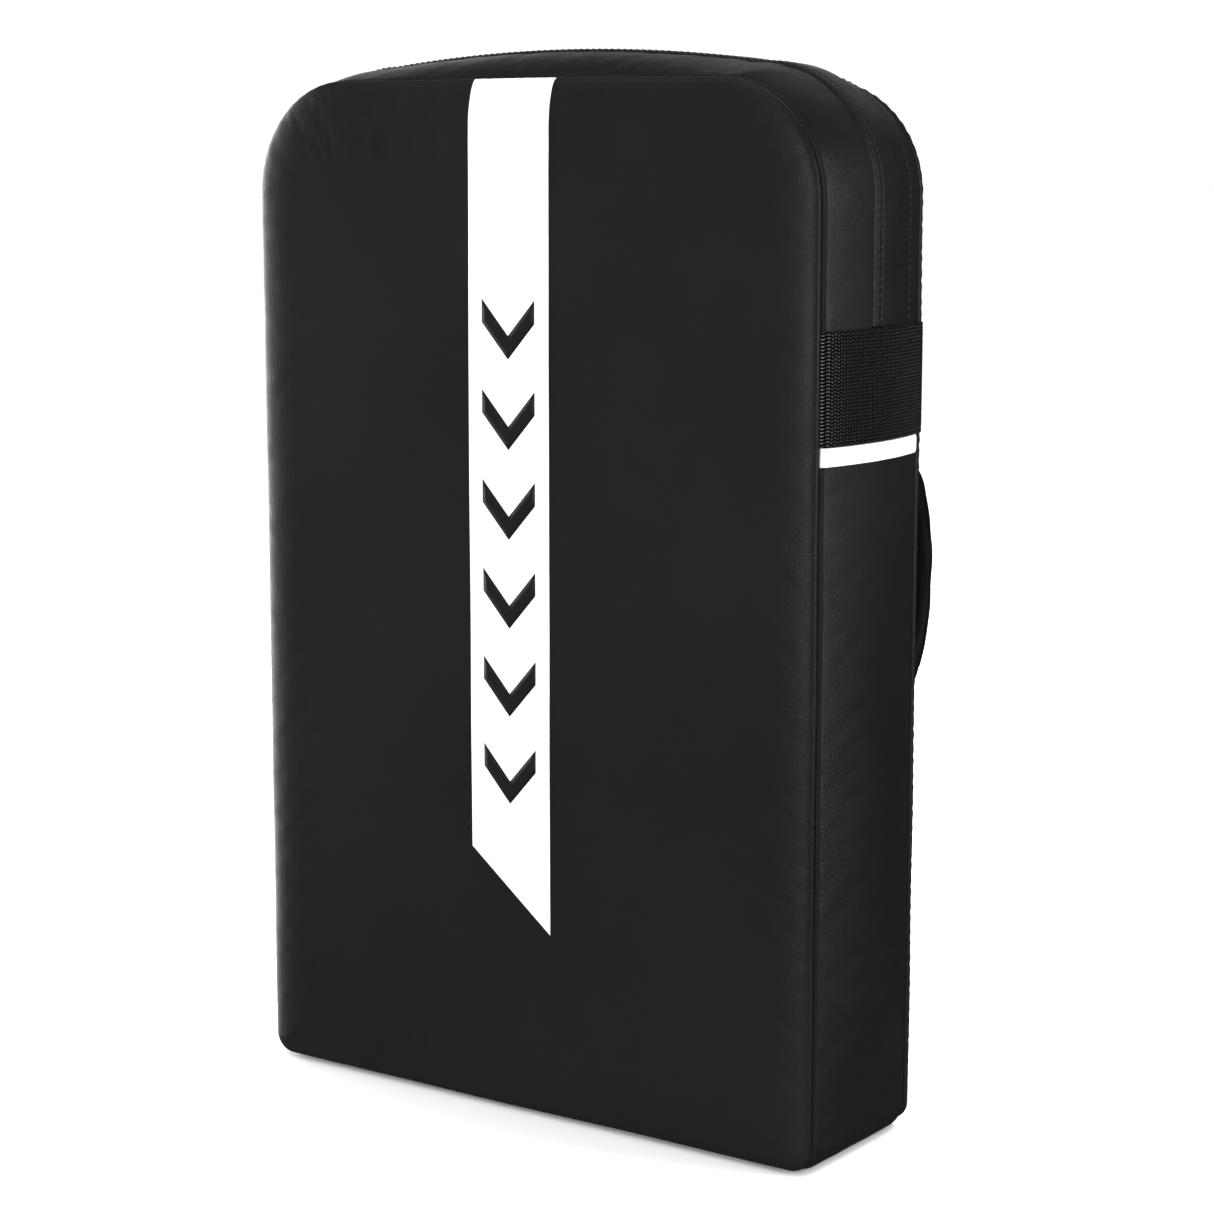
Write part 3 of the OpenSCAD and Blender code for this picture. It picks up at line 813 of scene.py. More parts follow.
def gusset_relief(run, y, seed, rows=()):
    """Puckers beside the seams, slow unevenness, and grooves where the stitched rows press in."""
    s = np.broadcast_to(run[:, 4:5], (len(run), len(y)))
    d = np.broadcast_to(HALF_D - np.abs(y), s.shape)
    relief = GUSSET_DRAWN * pucker(s + 0.1 * seed, d) + GUSSET_UNEVEN * waves(s, y, 90 * MM, seed)
    for row in rows:
        relief = relief - ROW_DEPTH * dip(y, row, ROW_HALF)
    return relief


def gusset_piece(name, node, run, start, end, seed, rows=()):
    y, sink = gusset_columns(start, end)
    for row in rows:
        extra = row + np.array([-1.2, -0.5, 0, 0.5, 1.2]) * MM
        y, sink = np.concatenate([y, extra]), np.concatenate([sink, 0 * extra])
    order = np.argsort(y, kind="stable")
    y, sink = y[order], sink[order]
    grid = gusset_grid(run, y, sink + gusset_relief(run, y, seed, rows))
    grid[..., 2] = np.maximum(grid[..., 2], 0)
    obj = grid_piece(name, grid)
    return dress(obj, LEATHER_LOOK, [node])


REAR_ROW = 34 * MM
FLAP_ROWS = (-6.5 * MM, -2 * MM)
GUSSET_EDGE_ROWS = (ZIP_Y - ZIP_GAP - 2.5 * MM, ZIP_Y + ZIP_GAP + 2.5 * MM)

lower_run = run_between(JOIN_Z - GAP, JOIN_Z - GAP, upper=False)
upper_run = run_between(JOIN_Z, JOIN_Z, upper=True)
gusset_piece("lower_gusset_leather", "lower_gusset", lower_run, -HALF_D, HALF_D, seed=31)
gusset_piece("upper_gusset_front_leather", "upper_gusset_front", upper_run, -HALF_D, ZIP_Y - ZIP_GAP, seed=32,
             rows=GUSSET_EDGE_ROWS[:1])
gusset_piece("upper_gusset_rear_leather", "upper_gusset_rear", upper_run, ZIP_Y + ZIP_GAP, HALF_D, seed=33,
             rows=(GUSSET_EDGE_ROWS[1], REAR_ROW))

# ---- flap over the zip

FLAP_THIN = 0.65           # share of the CAD flap's thickness
FLAP_T = FLAP_THIN * (flap_hi.x - HALF_W - SIDE_CROWN - GAP)
FLAP_STEPS = 26


def flap_section():
    """Depths and heights round the flap's section: a folded strip with rounded edges and two pressed rows."""
    y0, y1 = flap_lo.y, flap_hi.y
    top_y = np.concatenate([
        y0 + np.array([0, 0.6, 1.3, 2.0]) * MM,
        np.linspace(y0 + 2.6 * MM, y1 - 2.4 * MM, FLAP_STEPS),
        y1 - np.array([1.6, 0.8, 0.25, 0]) * MM,
    ])
    top = np.concatenate([[0.0, 0.25, 0.55, 0.85], np.ones(FLAP_STEPS), [1.08, 1.0, 0.75, 0.4]]) * FLAP_T
    for row in FLAP_ROWS:
        top = top - 0.3 * MM * dip(top_y, row, 1.1 * MM)
    low_y = np.array([y1 - 0.3 * MM, 0.5 * (y0 + y1), y0 + 2.6 * MM])
    low = np.zeros(3)
    tucked = np.concatenate([-0.35 * np.exp(-(top_y - y0) / (1.2 * MM)), np.zeros(3)]) * MM
    return np.concatenate([top_y, low_y]), np.concatenate([top, low]) + tucked + GAP


def make_flap():
    run = run_between(strap_hi.z + 0.2 * MM, FLAP_START, upper=True)
    y, lift = flap_section()
    free = smooth((y - FLAP_ROWS[1]) / (12 * MM)) * (lift > 0.5 * MM)
    s = run[:, 4:5]
    wave = 0.35 * MM * waves(s, 0 * s, 55 * MM, 41) * free
    grid = gusset_grid(run, y, lift + np.maximum(wave, -0.2 * MM))
    obj = sweep_piece("zip_flap_leather", grid)
    return dress(obj, LEATHER_LOOK, ["zip_flap"])


make_flap()

# ---- stitches

STITCH_PITCH = 4.2 * MM
STITCH_LENGTH = 3.3 * MM
THREAD_R = 0.42 * MM
AHEAD = 0.3 * MM           # step for the direction of a row
STITCH_SIDES = 8
STITCH_RINGS = 7


def stitch_template():
    """One stitch along X: a thread that dives into the leather at both ends."""
    t = np.linspace(-1, 1, STITCH_RINGS)
    r = THREAD_R * np.sqrt(np.clip(1 - np.abs(t) ** 3.5, 0.06, 1))
    z = 0.38 * MM * (1 - t ** 2) - 0.30 * MM
    a = 2 * np.pi * np.arange(STITCH_SIDES) / STITCH_SIDES
    x = np.broadcast_to(t[:, None] * STITCH_LENGTH / 2, (STITCH_RINGS, STITCH_SIDES))
    y = r[:, None] * np.cos(a)
    up = z[:, None] + r[:, None] * np.sin(a)
    faces = grid_faces(STITCH_RINGS, STITCH_SIDES, closed_columns=True)
    faces.append(tuple(range(STITCH_SIDES)))
    faces.append(tuple((STITCH_RINGS - 1) * STITCH_SIDES + j for j in reversed(range(STITCH_SIDES))))
    return np.stack([x, y, up], 2).reshape(-1, 3), faces


STITCH = stitch_template()


def resample(points, normals, pitch):
    """Evenly spaced places along a row, each with its direction and normal."""
    length = lengths(points)
    count = max(int(length[-1] / pitch), 1)
    at = (np.arange(count) + 0.5) * length[-1] / count
    p = at_lengths(points, length, at)
    n = at_lengths(normals, length, at)
    ahead = at_lengths(points, length, at + AHEAD)
    behind = at_lengths(points, length, at - AHEAD)
    t = ahead - behind
    t /= np.linalg.norm(t, axis=1, keepdims=True)
    n -= t * np.sum(n * t, axis=1, keepdims=True)
    n /= np.linalg.norm(n, axis=1, keepdims=True)
    return p, t, n


def stitches(name, rows, pitch=STITCH_PITCH):
    """One piece holding all the stitches along some rows, each row a pair of points and normals."""
    template, template_faces = STITCH
    local = template * (pitch / STITCH_PITCH, 1, 1)
    verts = []
    for points, normals in rows:
        p, t, n = resample(np.asarray(points, float), np.asarray(normals, float), pitch)
        b = np.cross(n, t)
        for i in range(len(p)):
            verts.append(p[i] + local[:, :1] * t[i] + local[:, 1:2] * b[i] + local[:, 2:] * n[i])
    faces = repeated(template_faces, len(template), len(verts))
    obj = link_mesh(name, np.vstack(verts), faces)
    return dress(obj, THREAD)


ROW_LIFT = -0.3 * MM


def gusset_row(run, y, lift):
    """One row of stitches along the gusset, at the depth y."""
    points = gusset_grid(run, np.array([y]), lift)[:, 0]
    normals = np.column_stack([run[:, 2], np.zeros(len(run)), run[:, 3]])
    return points, normals


flap_run = run_between(ZIP_START, FLAP_START + 2 * MM, upper=True)
stitches("flap_stitches", [gusset_row(flap_run, y, FLAP_T + 0.05 * MM) for y in FLAP_ROWS])
rear_run = run_between(ZIP_START, ZIP_START, upper=True)
stitches("gusset_rear_stitches", [gusset_row(rear_run, REAR_ROW, ROW_LIFT)])


def side_run(z, sign):
    """Rows like the seam's, straight up one side at the heights z."""
    n = len(z)
    return np.column_stack([np.full(n, sign * HALF_W), z, np.full(n, sign), np.zeros(n), z])


def window_row(y):
    """A row of stitches beside the open stretch of the zip."""
    run = side_run(np.linspace(ZIP_START + 1 * MM, FLAP_START - 1 * MM, 12), -1)
    return gusset_row(run, y, ROW_LIFT)


stitches("zip_window_stitches", [window_row(y) for y in GUSSET_EDGE_ROWS])

# ---- webbing


def path_frame(path):
    """Directions along and to the right of a flat path of points."""
    t = np.gradient(path, axis=0)
    t /= np.linalg.norm(t, axis=1, keepdims=True)
    return t, np.column_stack([t[:, 1], -t[:, 0]])


def even(path, step):
    """A path in equal steps, with the length at each point."""
    length = lengths(path)
    at = np.linspace(0, length[-1], int(length[-1] / step) + 1)
    return at_lengths(path, length, at), at


def webbing_piece(name, path, thickness, low, high, place, step=0.65 * MM, column=4.6 * MM):
    """A strap along a flat path, from low to high across it; place(path, w) puts it in the frame."""
    path, s = even(path, step)
    _, right = path_frame(path)
    edge = thickness * 0.45
    half = (high - low) / 2
    w = np.concatenate([
        [-half, -half + edge * 0.3, -half + edge],
        np.linspace(-half + 2 * MM, half - 2 * MM, 15),
        [half - edge, half - edge * 0.3, half],
    ])
    body = np.concatenate([[0.5, 0.8, 0.97], np.ones(15), [0.97, 0.8, 0.5]])
    rib = 0.10 * MM * np.abs(np.sin(np.pi * s / column))[:, None]
    selvage = 1 - 0.12 * dip(np.abs(w), half - 2.2 * MM, 0.8 * MM)
    over = thickness * (0.5 + 0.5 * (body * selvage)) - rib * (body > 0.99) + 0 * s[:, None]
    under = thickness * (0.5 - 0.5 * body) + rib * (body > 0.99)
    middle = (low + high) / 2
    sections = []
    for out, widths in ((over, w), (under[:, ::-1], w[::-1])):
        flat = path[:, None, :] + right[:, None, :] * out[..., None]
        sections.append(place(flat, middle + widths))
    grid = np.concatenate(sections, axis=1)
    widths = np.concatenate([w, w[::-1]])
    uv = np.stack(np.broadcast_arrays(s[:, None], widths[None, :]), 2).reshape(-1, 2)
    return sweep_piece(name, grid, uv)


def place_flat(flat, w):
    """Path in the XY plane, width along Z."""
    z = np.broadcast_to(w, flat.shape[:2])
    return np.stack([flat[..., 0], flat[..., 1], z], 2)


PAD_Y = (pad_lo.y + pad_hi.y) / 2
STRAP_T = strap_hi.x - HALF_W - SIDE_CROWN - GAP
STRAP_BACK = grip_lo.y + STRAP_T + GAP
STRAP_LIFT = (135 * MM, 85 * MM)


def strap_half():
    """Right half of the arm strap's inner face, seen from above, from the front seam inwards."""
    y = np.linspace(-HALF_D + 3 * MM, HALF_D - 4 * MM, 40)
    side = np.column_stack([HALF_W + SIDE_CROWN * (1 - (y / HALF_D) ** 2) + GAP, y])
    tuck = np.array([[HALF_W - 3 * MM, -HALF_D + 0.4 * MM], [HALF_W - 1.2 * MM, -HALF_D + 0.8 * MM],
                     [HALF_W + 0.1 * MM, -HALF_D + 1.7 * MM]])
    a = np.radians(np.linspace(0, 90, 19))
    turn = np.column_stack([
        HALF_W - BACK_ROUND + (BACK_ROUND + GAP) * np.cos(a),
        HALF_D + (STRAP_BACK - HALF_D) * np.sin(a),
    ])
    u = np.linspace(0, 1, 30)
    x = STRAP_LIFT[0] + (STRAP_LIFT[1] - STRAP_LIFT[0]) * u
    top = PAD_Y - STRAP_T / 2
    lift = np.column_stack([x, STRAP_BACK + (top - STRAP_BACK) * smooth(u)])
    return np.vstack([tuck, side, turn, [[150 * MM, STRAP_BACK]], lift])


def mirrored(half):
    """A whole path from its right half."""
    return np.vstack([half, half[::-1] * (-1, 1)])


strap_path = mirrored(strap_half())
arm_strap = webbing_piece("arm_strap_webbing", strap_path, STRAP_T, strap_lo.z, strap_hi.z, place_flat)
dress(arm_strap, WEBBING, ["arm_strap"])


TRIM_T = 0.9 * MM
TRIM_LIFT = 1.25 * MM


def trim_piece(name, node, sign):
    """White band on the gusset under the arm strap, with edges that roll in."""
    z = np.linspace(trim_lo.z, trim_hi.z, 9)
    if sign < 0:
        z = z[::-1]
    run = side_run(z, sign)
    y, sink = gusset_columns(-HALF_D, HALF_D, step=2 * MM)
    edge = np.minimum(np.abs(z - trim_lo.z), np.abs(trim_hi.z - z))[:, None]
    lift = sink + TRIM_LIFT - 0.5 * MM * np.exp(-edge / (0.5 * MM))
    obj = grid_piece(name, gusset_grid(run, y, lift), thickness=TRIM_T)
    return dress(obj, WHITE_TRIM, [node])


trim_piece("white_trim_right_leather", "white_trim_right", 1)
trim_piece("white_trim_left_leather", "white_trim_left", -1)

# ---- grips

GRIP_Z = (grip_lo.z + grip_hi.z) / 2
GRIP_HALF = 77 * MM
GRIP_X = (grip_lo.x + grip_hi.x) / 2
GRIP_RISE = 39 * MM
FOOT_Y = grip_lo.y
BAR_HALF = (bar_hi.z - bar_lo.z) / 2
BAR_A = (bar_hi.x - bar_lo.x) / 2
BAR_B = 10 * MM


def grip_y(z):
    return FOOT_Y + GRIP_RISE * (1 - np.minimum(np.abs(z - GRIP_Z) / GRIP_HALF, 1) ** GRIP_POWER)


def grip_path():
    z = GRIP_Z + GRIP_HALF * np.linspace(-1, 1, 61)
    low = np.linspace(grip_lo.z, GRIP_Z - GRIP_HALF, 12)[:-1]
    high = np.linspace(GRIP_Z + GRIP_HALF, grip_hi.z, 12)[1:]
    z = np.concatenate([low, z, high])
    y = grip_y(z)
    y = np.convolve(np.pad(y, 2, mode="edge"), np.ones(5) / 5, mode="valid")
    return np.column_stack([y, z])


def bar_sections(x, a, b, half, count=61, sides=40):
    """Sections of a grip's padded bar, wrinkled on its inner side and drawn in at its ends."""
    u = np.linspace(-1, 1, count)
    z = GRIP_Z + half * u
    y = grip_y(z)
    slope = np.gradient(y, z)
    n = np.column_stack([np.ones(count), -slope]) / np.sqrt(1 + slope ** 2)[:, None]
    ends = np.sqrt(np.clip(1 - 0.55 * np.abs(u) ** 14, 0, 1))
    t = 2 * np.pi * np.arange(sides) / sides
    inner = np.clip(-np.sin(t), 0, 1) ** 2
    crease = 0.35 * MM * inner * (np.sin(z / (3.4 * MM) + 2 * np.sin(z / (11 * MM))))[:, None]
    puff = 1 + 0.015 * waves(z[:, None], t * 6 * MM, 22 * MM, 51)
    hem = 1 - 0.05 * dip(np.abs(u), 0.93, 0.02)
    ra = a * (ends * hem)[:, None] * puff + crease
    rb = b * (ends * hem)[:, None] * puff + crease
    out = STRAP_T / 2 + rb * np.sin(t)
    return np.stack([
        x + ra * np.cos(t),
        y[:, None] + out * n[:, :1],
        z[:, None] + out * n[:, 1:],
    ], 2)


def settled_bar(sections):
    """The bar's leather after it has settled on its foam, held at its two hems."""
    rows, columns = sections.shape[:2]
    points = sections.reshape(-1, 3)
    held = np.full((rows, columns), 0.03)
    held[:3] = held[-3:] = 1
    held[::3, 30] = 1
    settled = settle(points, grid_faces(rows, columns, closed_columns=True), held.ravel(), 2.0, 0.025)
    return limited(points, settled, 0.9 * MM).reshape(sections.shape)


def place_side(x):
    """Path in the YZ plane at x, width along X."""
    def place(flat, w):
        return np.stack([np.broadcast_to(x + w, flat.shape[:2]), flat[..., 0], flat[..., 1]], 2)
    return place


def box_rows(x0, x1, z0, z1, y, cross=True):
    """A stitched rectangle on the back, with or without a cross in it."""
    corners = [(x0, z0), (x1, z0), (x1, z1), (x0, z1), (x0, z0)]
    spans = list(zip(corners[:-1], corners[1:]))
    if cross:
        spans += [((x0, z0), (x1, z1)), ((x1, z0), (x0, z1))]
    rows = []
    for p, q in spans:
        t = np.linspace(0, 1, 8)[:, None]
        xz = np.array(p) * (1 - t) + np.array(q) * t
        points = np.column_stack([xz[:, 0], np.full(8, y), xz[:, 1]])
        rows.append((points, np.tile((0, 1, 0), (8, 1))))
    return rows


def rounded_slab(name, x0, x1, z0, z1, y0, y1, material, node, corner=5 * MM):
    """A flat leather patch with rounded corners and edges."""
    angles = np.radians(np.arange(0, 360, 9))
    quadrant = (np.arange(len(angles)) * 4) // len(angles)
    cx = np.where((quadrant == 0) | (quadrant == 3), x1 - corner, x0 + corner)
    cz = np.where(quadrant < 2, z1 - corner, z0 + corner)
    rings = []
    for inset, y in ((0, y0), (0, (y0 + y1) / 2), (0.25 * MM, y1 - 0.15 * MM), (0.8 * MM, y1), (3 * MM, y1)):
        r = corner - inset
        rings.append(np.stack([cx + r * np.cos(angles), np.full(len(angles), y), cz + r * np.sin(angles)], 1))
    obj = sweep_piece(name, np.stack(rings, 0))
    return dress(obj, material, [node])


GRIP_SEAM = 10             # place of the grip's seam round its section
STRAP_BOX = (141 * MM, 174 * MM)
PATCH_ROW = 3.5 * MM


def make_reinforcement(side, sign):
    x0, x1 = sorted((sign * patch_lo.x, sign * patch_hi.x))
    y0 = BACK_Y + BACK_PILLOW * 0.3
    rounded_slab(f"reinforcement_{side}_leather", x0, x1, patch_lo.z, patch_hi.z, y0, patch_hi.y,
                 PATCH_LOOK, f"reinforcement_{side}")


def make_grip(side, sign):
    """The grip's webbing, its padded bar and the bar's seam."""
    half = (grip_hi.x - grip_lo.x) / 2
    place = place_side(sign * GRIP_X)
    strap = webbing_piece(f"grip_{side}_webbing", grip_path(), STRAP_T, -half, half, place)
    dress(strap, WEBBING, [f"grip_webbing_{side}"])
    sections = settled_bar(bar_sections(sign * GRIP_X, BAR_A, BAR_B, BAR_HALF))
    bar = sweep_piece(f"grip_{side}_cover", sections)
    dress(bar, GRIP_SHADED_LOOK, [f"grip_cover_{side}"])
    seam = sections[4:-4, GRIP_SEAM]
    outward = np.tile((0, 1, 0), (len(seam), 1))
    stitches(f"grip_{side}_seam_stitches", [(seam, outward)], pitch=3.6 * MM)


def back_rows(sign):
    """Stitched boxes of one side: the grip's lower foot, the strap's foot and the reinforcement."""
    x0 = sign * GRIP_X - 9.5 * MM
    x1 = sign * GRIP_X + 9.5 * MM
    rows = box_rows(x0, x1, grip_lo.z + 4 * MM, GRIP_Z - GRIP_HALF - 4 * MM, FOOT_Y + STRAP_T)
    ax, bx = sorted(sign * x for x in STRAP_BOX)
    rows += box_rows(ax, bx, strap_lo.z + 5 * MM, strap_hi.z - 5 * MM, STRAP_BACK + STRAP_T)
    px, qx = sorted((sign * (patch_lo.x + PATCH_ROW), sign * (patch_hi.x - PATCH_ROW)))
    rows += box_rows(px, qx, patch_lo.z + PATCH_ROW, patch_hi.z - PATCH_ROW, patch_hi.y, cross=False)
    return rows


for side, sign in (("right", 1), ("left", -1)):
    make_reinforcement(side, sign)
    make_grip(side, sign)
    stitches(f"back_{side}_stitches", back_rows(sign))

# ---- arm pad

PAD_R = 5.5 * MM
PAD_ROW = 5 * MM           # from the pad's edge to its stitched row
PAD_PRESSURE = 3.0
PAD_GROWTH = 0.02
PAD_MOST = 1.4 * MM


def rounded_box_section(half_y, half_z, r, straight, turn):
    """Points round a rectangle with rounded corners, with `straight` points along its long sides."""
    corners = []
    for cy, cz, start in ((1, 1, 0), (-1, 1, 90), (-1, -1, 180), (1, -1, 270)):
        a = np.radians(start + np.linspace(0, 90, turn))
        y = cy * (half_y - r) + r * np.cos(a)
        z = cz * (half_z - r) + r * np.sin(a)
        corners.append(np.column_stack([y, z]))
    section = []
    for k, corner in enumerate(corners):
        section.append(corner)
        count = straight if k % 2 == 1 else 3
        t = np.linspace(0, 1, count + 2)[1:-1, None]
        section.append(corner[-1] * (1 - t) + corners[(k + 1) % 4][0] * t)
    return np.vstack(section)


def end_shrink(near_end):
    """How far the pad's section draws in towards the rounded end of the pad."""
    turn = 1 - np.clip(near_end / PAD_R, 0, 1)
    return PAD_R * (1 - np.sqrt(np.clip(1 - turn ** 2, 0, 1))) * 0.8


def pad_sections():
    """Sections of the arm pad: a boxed cushion, pressed in along its stitched border."""
    half_x = pad_hi.x
    half_y = (pad_hi.y - pad_lo.y) / 2
    half_z = (pad_hi.z - pad_lo.z) / 2
    middle_z = (pad_lo.z + pad_hi.z) / 2
    fine = np.array([0, 0.5, 1.2, 2.2, 3.4]) * MM
    flat = np.linspace(-half_x + 5 * MM, half_x - 5 * MM, 69)
    x = np.concatenate([-half_x + fine, flat, (half_x - fine)[::-1]])
    near_end = half_x - np.abs(x)
    sections = []
    for place, drawn, end in zip(x, end_shrink(near_end), near_end):
        yz = rounded_box_section(half_y - drawn, half_z - drawn, max(PAD_R - drawn, MM), 31, 6)
        long_row = dip(half_z - np.abs(yz[:, 1]), PAD_ROW, ROW_HALF) * (end > PAD_ROW - MM)
        row = long_row + dip(end, PAD_ROW, ROW_HALF)
        face = np.abs(yz[:, 0]) > half_y - drawn - 0.3 * MM
        pressed = np.where(face, np.minimum(row, 1) * 0.9 * MM, 0)
        y = yz[:, 0] - np.sign(yz[:, 0]) * pressed
        sections.append(np.column_stack([np.full(len(yz), place), PAD_Y + y, middle_z + yz[:, 1]]))
    return np.stack(sections)


def near_pad_row(points):
    """True for the points of the pad that its border stitches hold."""
    end = pad_hi.x - np.abs(points[:, 0])
    side = (pad_hi.z - pad_lo.z) / 2 - np.abs(points[:, 2] - (pad_lo.z + pad_hi.z) / 2)
    row = np.minimum(end, side)
    return (np.abs(row - PAD_ROW) < ROW_HALF) | (end < 2.5 * MM)


def make_pad():
    sections = pad_sections()
    rows, columns = sections.shape[:2]
    points = sections.reshape(-1, 3)
    faces = grid_faces(rows, columns, closed_columns=True)
    held = np.where(near_pad_row(points), 1.0, 0.03)
    settled = settle(points, faces, held, PAD_PRESSURE, PAD_GROWTH)
    settled = limited(points, settled, PAD_MOST)
    pad = sweep_piece("arm_pad_cover_leather", settled.reshape(sections.shape))
    dress(pad, PATCH_LOOK, ["arm_pad_cover"])


def pad_rows():
    z0, z1 = pad_lo.z + PAD_ROW, pad_hi.z - PAD_ROW
    x0, x1 = pad_lo.x + PAD_ROW, pad_hi.x - PAD_ROW
    half_y = (pad_hi.y - pad_lo.y) / 2 - 0.9 * MM
    rows = []
    for side in (1, -1):
        for points, normals in box_rows(x0, x1, z0, z1, PAD_Y + side * half_y, cross=False):
            rows.append((points, normals * side))
    return rows


make_pad()
stitches("arm_pad_stitches", pad_rows())

# ---- zip

TAPE_T = 0.5 * MM
TAPE_SINK = -1.6 * MM
TAPE_REACH = 12 * MM
TOOTH_PITCH = 1.9 * MM
TOOTH_R = 0.42 * MM

zip_run = run_between(ZIP_START, ZIP_START, upper=True)


def zip_tape_piece(name, node, sign):
    near, far = ZIP_Y + sign * 0.15 * MM, ZIP_Y + sign * TAPE_REACH
    y = np.linspace(min(near, far), max(near, far), 9)
    obj = grid_piece(name, gusset_grid(zip_run, y, TAPE_SINK), thickness=TAPE_T)
    return dress(obj, TAPE, [node])


zip_tape_piece("zip_tape_front_weave", "zip_tape_front", -1)
zip_tape_piece("zip_tape_rear_weave", "zip_tape_rear", 1)


def coil_piece(name, node, sign):
    """Meshed teeth of one side: short rounded loops, each reaching a little over the centre line."""
    run, s = even(zip_run[:, :4], 0.5 * MM)
    start = 0.25 * TOOTH_PITCH * (1 + sign)
    at = np.arange(start, s[-1] - TOOTH_PITCH, TOOTH_PITCH)
    t = np.linspace(0, 1, 6)
    y = ZIP_Y + sign * (-0.5 + 3.3 * t) * MM
    rise = (0.05 - 0.55 * np.abs(2 * t - 0.9) ** 2.5) * MM
    a = 2 * np.pi * np.arange(6) / 6
    verts = []
    pattern = grid_faces(6, 6, closed_columns=True)
    pattern += [tuple(range(6)), tuple(30 + j for j in reversed(range(6)))]
    for place in at:
        row = np.array([np.interp(place, s, run[:, c]) for c in range(4)])
        row[2:4] /= np.linalg.norm(row[2:4])
        centre = gusset_grid(row[None], y, rise - TOOTH_R)[0]
        out = np.array([row[2], 0, row[3]])
        track = np.array([-row[3], 0, row[2]])
        ring = TOOTH_R * (np.cos(a)[:, None] * out + 0.85 * np.sin(a)[:, None] * track)
        verts.append((centre[:, None] + ring[None]).reshape(-1, 3))
    faces = repeated(pattern, len(verts[0]), len(verts))
    obj = link_mesh(name, np.vstack(verts), faces)
    return dress(obj, NYLON, [node])


coil_piece("zip_coil_front_teeth", "zip_coil_front", -1)
coil_piece("zip_coil_rear_teeth", "zip_coil_rear", 1)


def bevelled_copy(node, name, width, material, body):
    """A copy of a CAD node with rounded edges, standing for it."""
    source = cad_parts[node]
    mesh = source.data.copy()
    mesh.name = name
    obj = bpy.data.objects.new(name, mesh)
    bpy.context.collection.objects.link(obj)
    bevel = obj.modifiers.new("round", "BEVEL")
    bevel.width = width
    bevel.segments = 3
    bevel.limit_method = "ANGLE"
    bevel.angle_limit = math.radians(40)
    bevel.harden_normals = True
    return dress(obj, material, [node], body=body)


bevelled_copy("zip_slider", "zip_slider_body", 0.3 * MM, METAL, "slider")
bevelled_copy("zip_pull", "zip_pull_tab", 0.3 * MM, METAL, "pull")
bevelled_copy("zip_stops", "zip_stop_clips", 0.2 * MM, METAL, "shield")

# ---- seam bindings

BINDING_IN = EDGE[0, 0] + 1.5 * MM
BINDING_FLAT = BINDING_IN + 2 * MM
BINDING_OUT = 9.5 * MM
BINDING_HALF_T = 1.0 * MM


def binding_piece(name, node, y):
    """Tape folded round the seam allowance inside the cover: a thin ring with a rounded fold."""
    a = np.radians(np.linspace(-90, 90, 7))
    fold = BINDING_OUT - BINDING_HALF_T + BINDING_HALF_T * np.cos(a)
    inset = np.concatenate([[BINDING_IN, BINDING_FLAT], fold, [BINDING_FLAT, BINDING_IN]])
    depth = np.concatenate([[-1, -1], np.sin(a), [1, 1]]) * BINDING_HALF_T
    rings = []
    for drawn_in, deep in zip(inset, depth):
        o = outline(drawn_in)
        rings.append(np.stack([o[:, 0], np.full(len(o), y + deep), o[:, 1]], 1))
    grid = np.stack(rings, 1)
    faces = grid_faces(*grid.shape[:2], closed_rows=True, closed_columns=True)
    obj = link_mesh(name, grid.reshape(-1, 3), faces)
    volume_outwards(obj)
    return dress(obj, TAPE, [node])


binding_piece("front_seam_tape", "front_seam_binding", -HALF_D)
binding_piece("back_seam_tape", "back_seam_binding", HALF_D)

# ---- inner pieces


def paint_node(node, material):
    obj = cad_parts[node]
    obj.data.materials.clear()
    obj.data.materials.append(material)


for node in ("strike_foam", "back_foam", "arm_pad_foam", "grip_foam_right", "grip_foam_left"):
    paint_node(node, FOAM_GREY)
paint_node("core_foam", FOAM_WHITE)

# ---- studio

COOL = (0.965, 0.955, 1.0)
WHITE_LEVEL = 1.12
FRONT_GLOSS = 0.6
REAR_GLOSS = 0.06
FLOOR_HALF = 30


def soft_light(name, location, size, energy, target=INSIDE, colour=COOL):
    light = bpy.data.lights.new(name, "AREA")
    light.shape = "RECTANGLE"
    light.size, light.size_y = size
    light.energy = energy
    light.color = colour
    obj = bpy.data.objects.new(name, light)
    obj.location = location
    obj.visible_camera = False
    bpy.context.collection.objects.link(obj)
    aim(obj, target)
    return obj


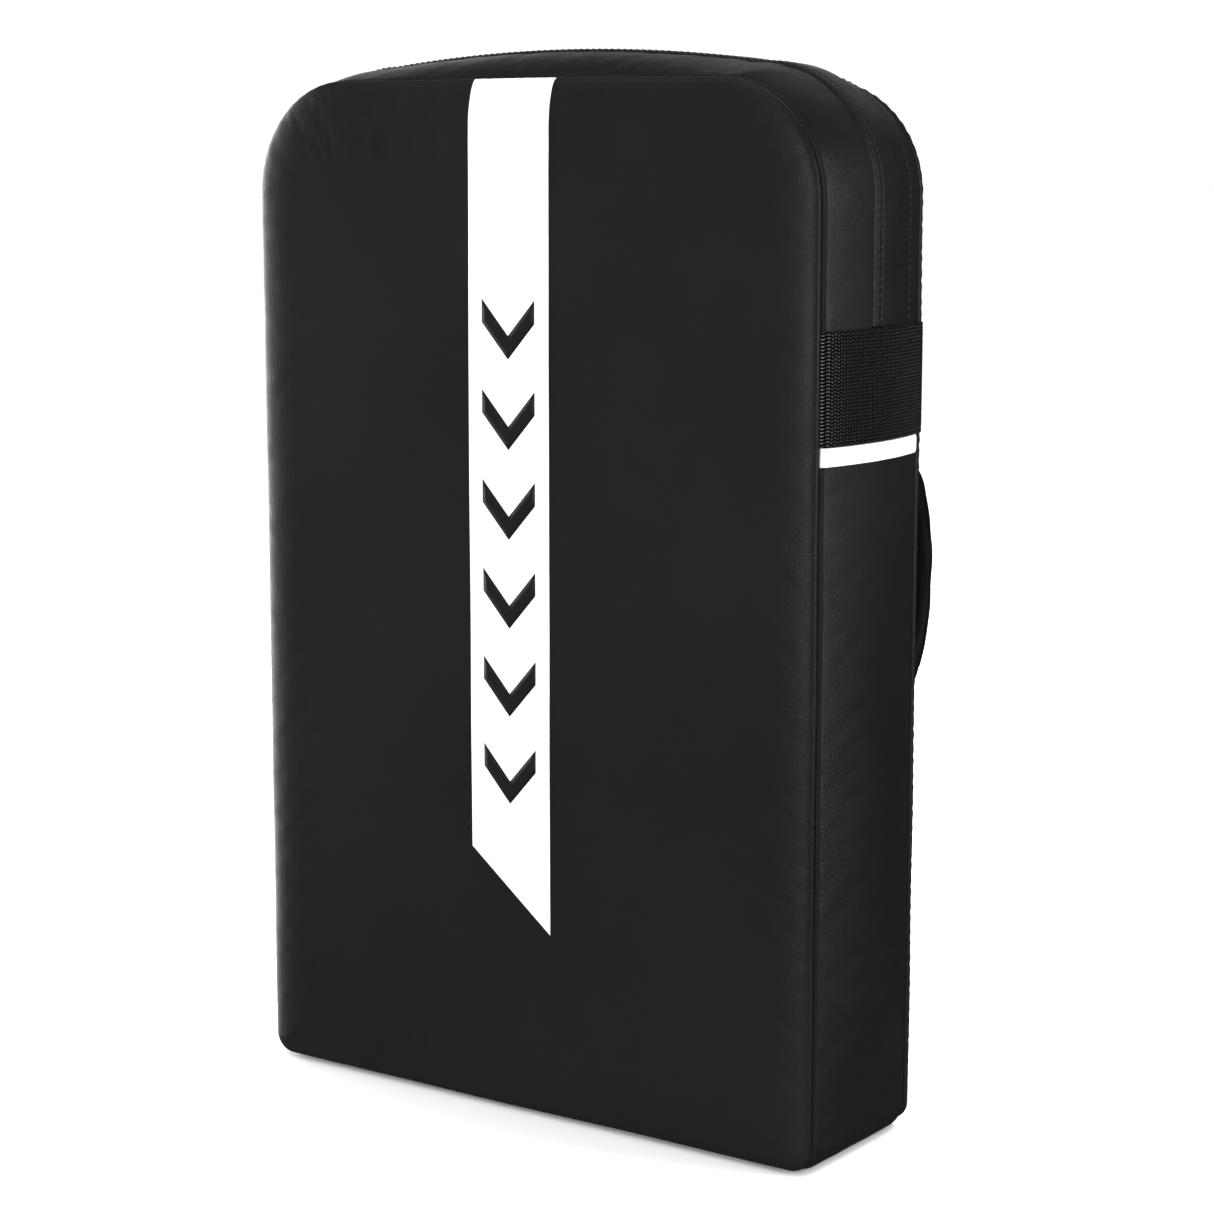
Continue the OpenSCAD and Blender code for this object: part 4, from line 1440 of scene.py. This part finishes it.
def make_floor():
    h = FLOOR_HALF
    floor = link_mesh("floor", [(-h, -h, 0), (h, -h, 0), (h, h, 0), (-h, h, 0)], [(0, 1, 2, 3)])
    look = Look("floor_paint", roughness=0.9, specular=0.1)
    look.link(look.tint(look.spread(look.noise(2), 0, 1), grey(0.915), grey(0.925)), "Base Color")
    floor.data.materials.append(look.material)
    floor.visible_glossy = False


def make_world():
    """White for the floor and background; what gloss mirrors is bright in front and dark behind."""
    world = bpy.data.worlds.new("studio")
    bpy.context.scene.world = world
    world.use_nodes = True
    tree = world.node_tree
    direction = tree.nodes.new("ShaderNodeSeparateXYZ")
    coordinates = tree.nodes.new("ShaderNodeTexCoord")
    tree.links.new(coordinates.outputs["Generated"], direction.inputs[0])
    ahead = tree.nodes.new("ShaderNodeMapRange")
    ahead.interpolation_type = "SMOOTHSTEP"
    tree.links.new(direction.outputs["Y"], ahead.inputs["Value"])
    ranges = {"From Min": 0.45, "From Max": -0.75, "To Min": REAR_GLOSS, "To Max": FRONT_GLOSS}
    for socket, value in ranges.items():
        ahead.inputs[socket].default_value = value
    ray = tree.nodes.new("ShaderNodeLightPath")
    strength = tree.nodes.new("ShaderNodeMix")
    tree.links.new(ray.outputs["Is Glossy Ray"], strength.inputs["Factor"])
    strength.inputs["A"].default_value = WHITE_LEVEL
    tree.links.new(ahead.outputs["Result"], strength.inputs["B"])
    background = tree.nodes["Background"]
    background.inputs["Color"].default_value = (1, 1, 1, 1)
    tree.links.new(strength.outputs["Result"], background.inputs["Strength"])


make_floor()
make_world()
soft_light("key", (0.95, -2.5, 0.6), (1.2, 1.8), 54)
soft_light("side", (2.15, 0.62, 0.6), (0.7, 1.7), 40)
soft_light("left", (-2.2, 0.45, 0.3), (1.7, 1.8), 95)
soft_light("left_rear", (-1.5, 1.9, 0.9), (1.4, 1.4), 8)
soft_light("corner", (-0.3, 2.6, 2.3), (1.4, 1.4), 5)
soft_light("top", (-0.3, -0.5, 2.6), (2.0, 2.0), 20)
rear = soft_light("rear", (0.3, 2.2, 2.0), (1.6, 1.6), 90)
rear.visible_glossy = False
bpy.context.scene.view_settings.view_transform = "Standard"
